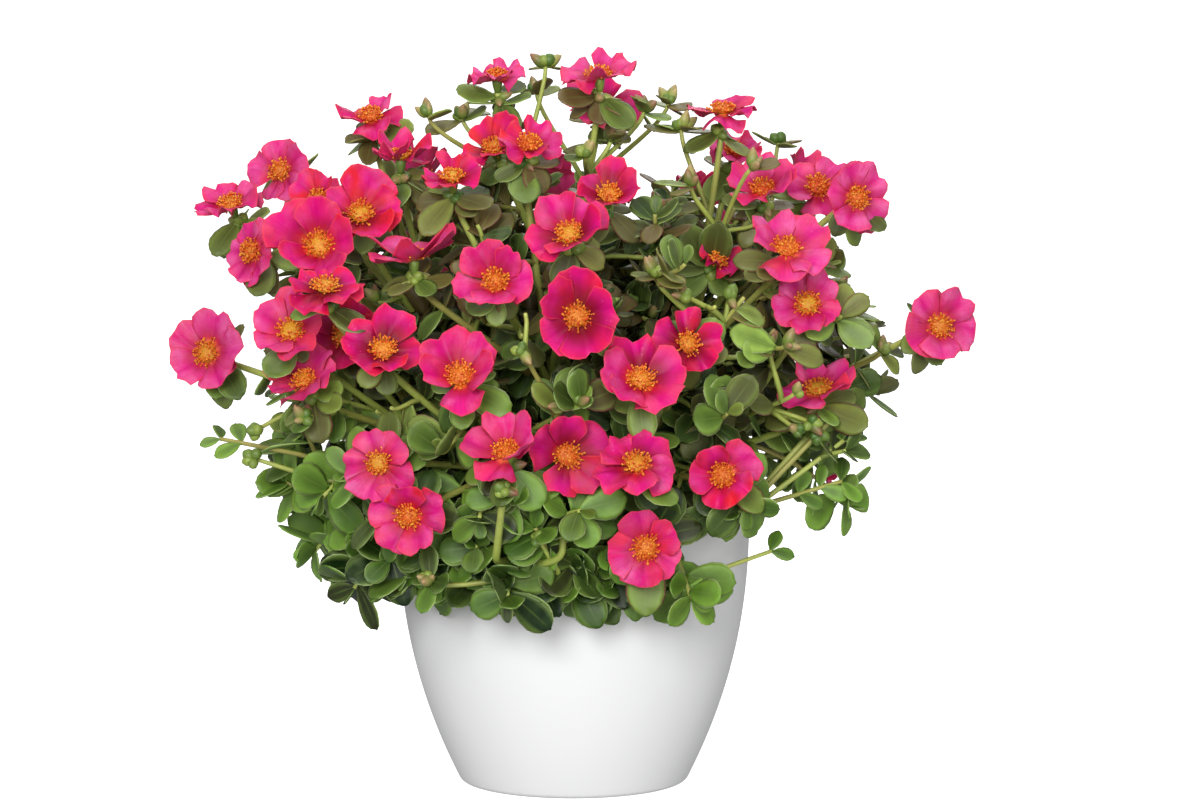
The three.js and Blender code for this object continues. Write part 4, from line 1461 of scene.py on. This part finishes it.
# One petal, from the flower's middle outwards along +X in the flower's own frame. It is two
# swelling halves either side of a valley that ends in the notch of its rim.
def petal_shape(radius, look, seed):
    own = np.random.default_rng(seed)
    cup, breadth, warm, pale, share = look
    u, v = np.meshgrid(PETAL_ALONG, PETAL_ACROSS, indexing="ij")
    reach = 0.04 + 0.96 * u * petal_outline(own, u, v)
    steps = np.linspace(0, 1, 40)
    climb = petal_climb(own, cup, steps)[1:]
    length = radius * share / math.cos(math.radians(cup)) ** 0.8 * own.uniform(*PETAL_STRETCH)
    outs = np.concatenate([[0], np.cumsum(np.cos(climb))]) * length / len(climb)
    ups = np.concatenate([[0], np.cumsum(np.sin(climb))]) * length / len(climb)
    out = np.interp(reach, steps, outs)
    spread = math.radians(breadth * own.uniform(*PETAL_SPREAD))
    angle = v * spread * (0.82 + 0.18 * np.minimum(1, u / 0.5))
    ridge = np.abs(np.sin(math.pi * v)) ** 0.8
    z = np.interp(reach, steps, ups) + (0.3 + petal_relief(own, u, v, ridge)) * MM
    middle = np.stack([out * np.cos(angle), out * np.sin(angle), z], axis=2)
    thickness = PETAL_THICKNESS * (1.3 - 0.6 * u)
    warm = float(np.clip(warm + own.uniform(-0.5, 0.5), 0, 1))
    pale = float(np.clip(pale + own.uniform(-0.6, 0.5), -1, 1))
    fold = 1 - (1 - ridge) * own.uniform(0.4, 1.0)
    return sheet(middle, thickness, PETAL_ALONG, PETAL_ACROSS, warm, pale, fold)


# A flower's own axes: two across it and the way it faces.
def flower_axes(flower):
    across = side_of(flower.face, 360 * vary(flower.index, 11))
    return np.stack([across, np.cross(flower.face, across), flower.face])


def looks_of(flower):
    if flower.index < FRONT_FLOWERS:
        return FLOWER_LOOKS[flower.index]
    cup, breadth, warm, pale = (vary(flower.index, purpose) for purpose in (12, 13, 14, 15))
    return 15 + 25 * cup, 38 + 8 * breadth, warm, 1.4 * pale - 0.5, 1.0


def add_petals(piece, flower):
    axes = flower_axes(flower)
    look = looks_of(flower)
    for i in range(PETALS):
        seed = 100 * flower.index + i
        points, faces, traits = petal_shape(flower.radius, look, seed)
        turn = 2 * math.pi * (i + 0.34 * (vary(seed, 15) - 0.5)) / PETALS
        c, s = math.cos(turn), math.sin(turn)
        points = points @ np.array([[c, s, 0], [-s, c, 0], [0, 0, 1]])
        piece.add(flower.seat + points @ axes, faces, traits)


# Where the parts of a tuft of stamens stand in the ramp of the stamens' colours.
CUSHION_GROWTH = np.array([0.3, 0.8, 0.9, 0.9, 0.85])
THREAD_GROWTH = np.array([0.1, 0.6])
ANTHER_GROWTH = np.array([0.85, 1.0])


# A tuft of stamens on a low cushion: threads that end in anthers, the outer ones leaning out.
def add_stamens(piece, flower):
    own = np.random.default_rng(5000 + flower.index)
    bowl = math.tan(math.radians(0.6 * looks_of(flower)[0]))
    axes = flower_axes(flower)
    tuft = flower.radius * STAMEN_SHARE
    open_middle = own.uniform(0, 1)

    def placed(x, y, z):
        return flower.seat + np.array([x, y, z]) @ axes

    radii = np.array([0.3, 0.62, 0.7, 0.5, 0.2]) * tuft
    cushion = spindle(placed(0, 0, 0.8 * MM), flower.face, CUSHION_HEIGHT, [0, 0.3, 0.65, 0.9, 1],
                      radii, 14, -open_middle, CUSHION_GROWTH)
    piece.add(*cushion)
    for i in range(STAMENS):
        share = math.sqrt(np.interp((i + 0.5) / STAMENS, [0, 1], [0.2 * open_middle, 1]))
        turn = math.radians(i * GOLDEN_TURN) + own.uniform(-0.2, 0.2)
        lean = share * own.uniform(0.8, 1.18)
        out = tuft * lean
        height = STAMEN_HEIGHT - STAMEN_DROP * lean * lean + own.uniform(-0.6, 0.9)
        x, y = math.cos(turn), math.sin(turn)
        foot = placed(0.4 * out * x, 0.4 * out * y, 1.2 * MM)
        top = placed(out * x, out * y, height * MM + bowl * out * 0.6)
        thread = np.stack([foot, top])
        piece.add(*tube(thread, [THREAD_RADIUS] * 2, 3, 0.5, THREAD_GROWTH))
        sideways = (axes[0] * x + axes[1] * y) * share * own.uniform(0.2, 1.4)
        way = unit(flower.face + sideways + own.normal(0, 0.4, 3))
        size = own.uniform(0.8, 1.2)
        length, radii = ANTHER_LENGTH * size, [ANTHER_RADIUS * size] * 2
        base, tone = top - way * length / 2, own.uniform(0, 1)
        piece.add(*spindle(base, way, length, [0.25, 0.75], radii, 4, tone, ANTHER_GROWTH))


# ---- Build the pieces ----
# What a twig carries. A sprig of the CAD model that had to stay bare, because it stands before a
# flower, ends in a few buds.
def dress_twig(twig, leaves, buds):
    if twig.kind == "head":
        head_whorl(leaves, twig)
        accent_leaves(leaves, twig, twig.name)
        cluster(buds, twig, "head", HEAD_BUDS)
    elif twig.kind == "trailer":
        trailer_leaves(leaves, twig)
        cluster(buds, twig, "trailer", twig.capsules)
    elif twig.kind == "bunch":
        cluster(buds, twig, "bunch", BUNCH_SIZE)
    else:
        height = twig.path[-1][2]
        leafy_twig(leaves, twig, float(np.interp(height / MM, LEAFY_HEIGHTS, LEAFY_SIZES)))
        is_bare = twig.kind == "sprig" and hides_a_flower(twig.path[-1:]).any()
        if is_bare or height > BUDDING_HEIGHT and rng.random() < BUDDING_SHARE:
            cluster(buds, twig, "head", rng.integers(2, 4))


def build_shoot(shoot):
    stems, leaves, buds = Piece(), Piece(), Piece()
    for stem in shoot.stems:
        radii = np.linspace(*stem.radii, len(stem.path))
        stems.add(*tube(stem.path, radii, STEM_SIDES[stem.kind], rng.uniform(0, 1)))
    for flower in shoot.flowers:
        flower_whorl(leaves, flower)
        stalk_pairs(leaves, flower.stem)
        calyx(buds, flower)
        count = rng.integers(3, 7) if flower.face[2] > 0.3 else rng.integers(1, 4)
        cluster(buds, flower.stem, "flower", count, 0.98)
        accent_leaves(leaves, flower.stem, flower.name)
    for twig in shoot.twigs:
        dress_twig(twig, leaves, buds)
    stems.build(f"{shoot.name}_stems", "stem", shoot.name)
    leaves.build(f"{shoot.name}_leaves", "leaf", shoot.name)
    buds.build(f"{shoot.name}_buds", "bud", shoot.name)
    behind = [flower for flower in shoot.flowers if not flower.name]
    if behind:
        build_blooms(shoot.name, behind)


# The petals and the stamens of some flowers, which belong to one CAD node.
def build_blooms(node, blooms):
    petals, stamens = Piece(), Piece()
    for flower in blooms:
        add_petals(petals, flower)
        add_stamens(stamens, flower)
    petals.build(f"{node}_petals", "petal", node)
    stamens.build(f"{node}_stamens", "stamen", node)


# ---- Studio ----
def build_backdrop():
    bend = [
        (BACKDROP_BACK + BACKDROP_BEND * math.sin(a), BACKDROP_BEND * (1 - math.cos(a)))
        for a in np.radians(np.linspace(0, 90, 13))
    ]
    line = [(BACKDROP_FRONT, 0.0), *bend, (BACKDROP_BACK + BACKDROP_BEND, BACKDROP_TOP)]
    half = BACKDROP_WIDTH / 2
    points = [(x, y, z) for y, z in line for x in (-half, half)]
    faces = [(2 * i, 2 * i + 1, 2 * i + 3, 2 * i + 2) for i in range(len(line) - 1)]
    mesh = bpy.data.meshes.new("backdrop")
    mesh.from_pydata(points, [], faces)
    mesh.shade_smooth()
    r = Recipe("backdrop_paper", srgb(250, 250, 250), 0.9)
    fleck = r.share(r.noise(40, 3), 0.3, 0.7)
    r.body = r.mix(fleck, srgb(248, 248, 248), srgb(252, 252, 252))
    r.constant(Emission_Color=(1, 1, 1, 1), Emission_Strength=BACKDROP_GLOW)
    mesh.materials.append(r.done())
    backdrop = add_object("backdrop", mesh)
    backdrop.visible_diffuse = False
    backdrop.visible_glossy = False


def build_lights():
    for name, place, aim, width, power in SOFT_BOXES:
        light = bpy.data.lights.new(name, "AREA")
        light.shape = "SQUARE"
        light.size = width
        light.energy = power
        lamp = add_object(name, light)
        lamp.location = place
        lamp.rotation_euler = (Vector(aim) - Vector(place)).to_track_quat("-Z", "Y").to_euler()
    world = bpy.data.worlds.new("studio")
    world.use_nodes = True
    sky = world.node_tree.nodes["Background"]
    sky.inputs["Color"].default_value = (1, 1, 1, 1)
    sky.inputs["Strength"].default_value = SKY_STRENGTH
    bpy.context.scene.world = world


def build_camera():
    lens = bpy.data.cameras.new("camera")
    lens.lens = LENS
    lens.sensor_width = 36
    camera = add_object("camera", lens)
    camera.location = EYE
    camera.rotation_euler = (math.radians(90 - PITCH_DOWN), 0, 0)
    bpy.context.scene.camera = camera
    bpy.context.scene.view_settings.view_transform = "Standard"


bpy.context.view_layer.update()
build_camera()
build_lights()
build_backdrop()
build_pot()
build_soil()
for shoot in shoots:
    build_shoot(shoot)
for flower in front_flowers:
    build_blooms(flower.name, [flower])
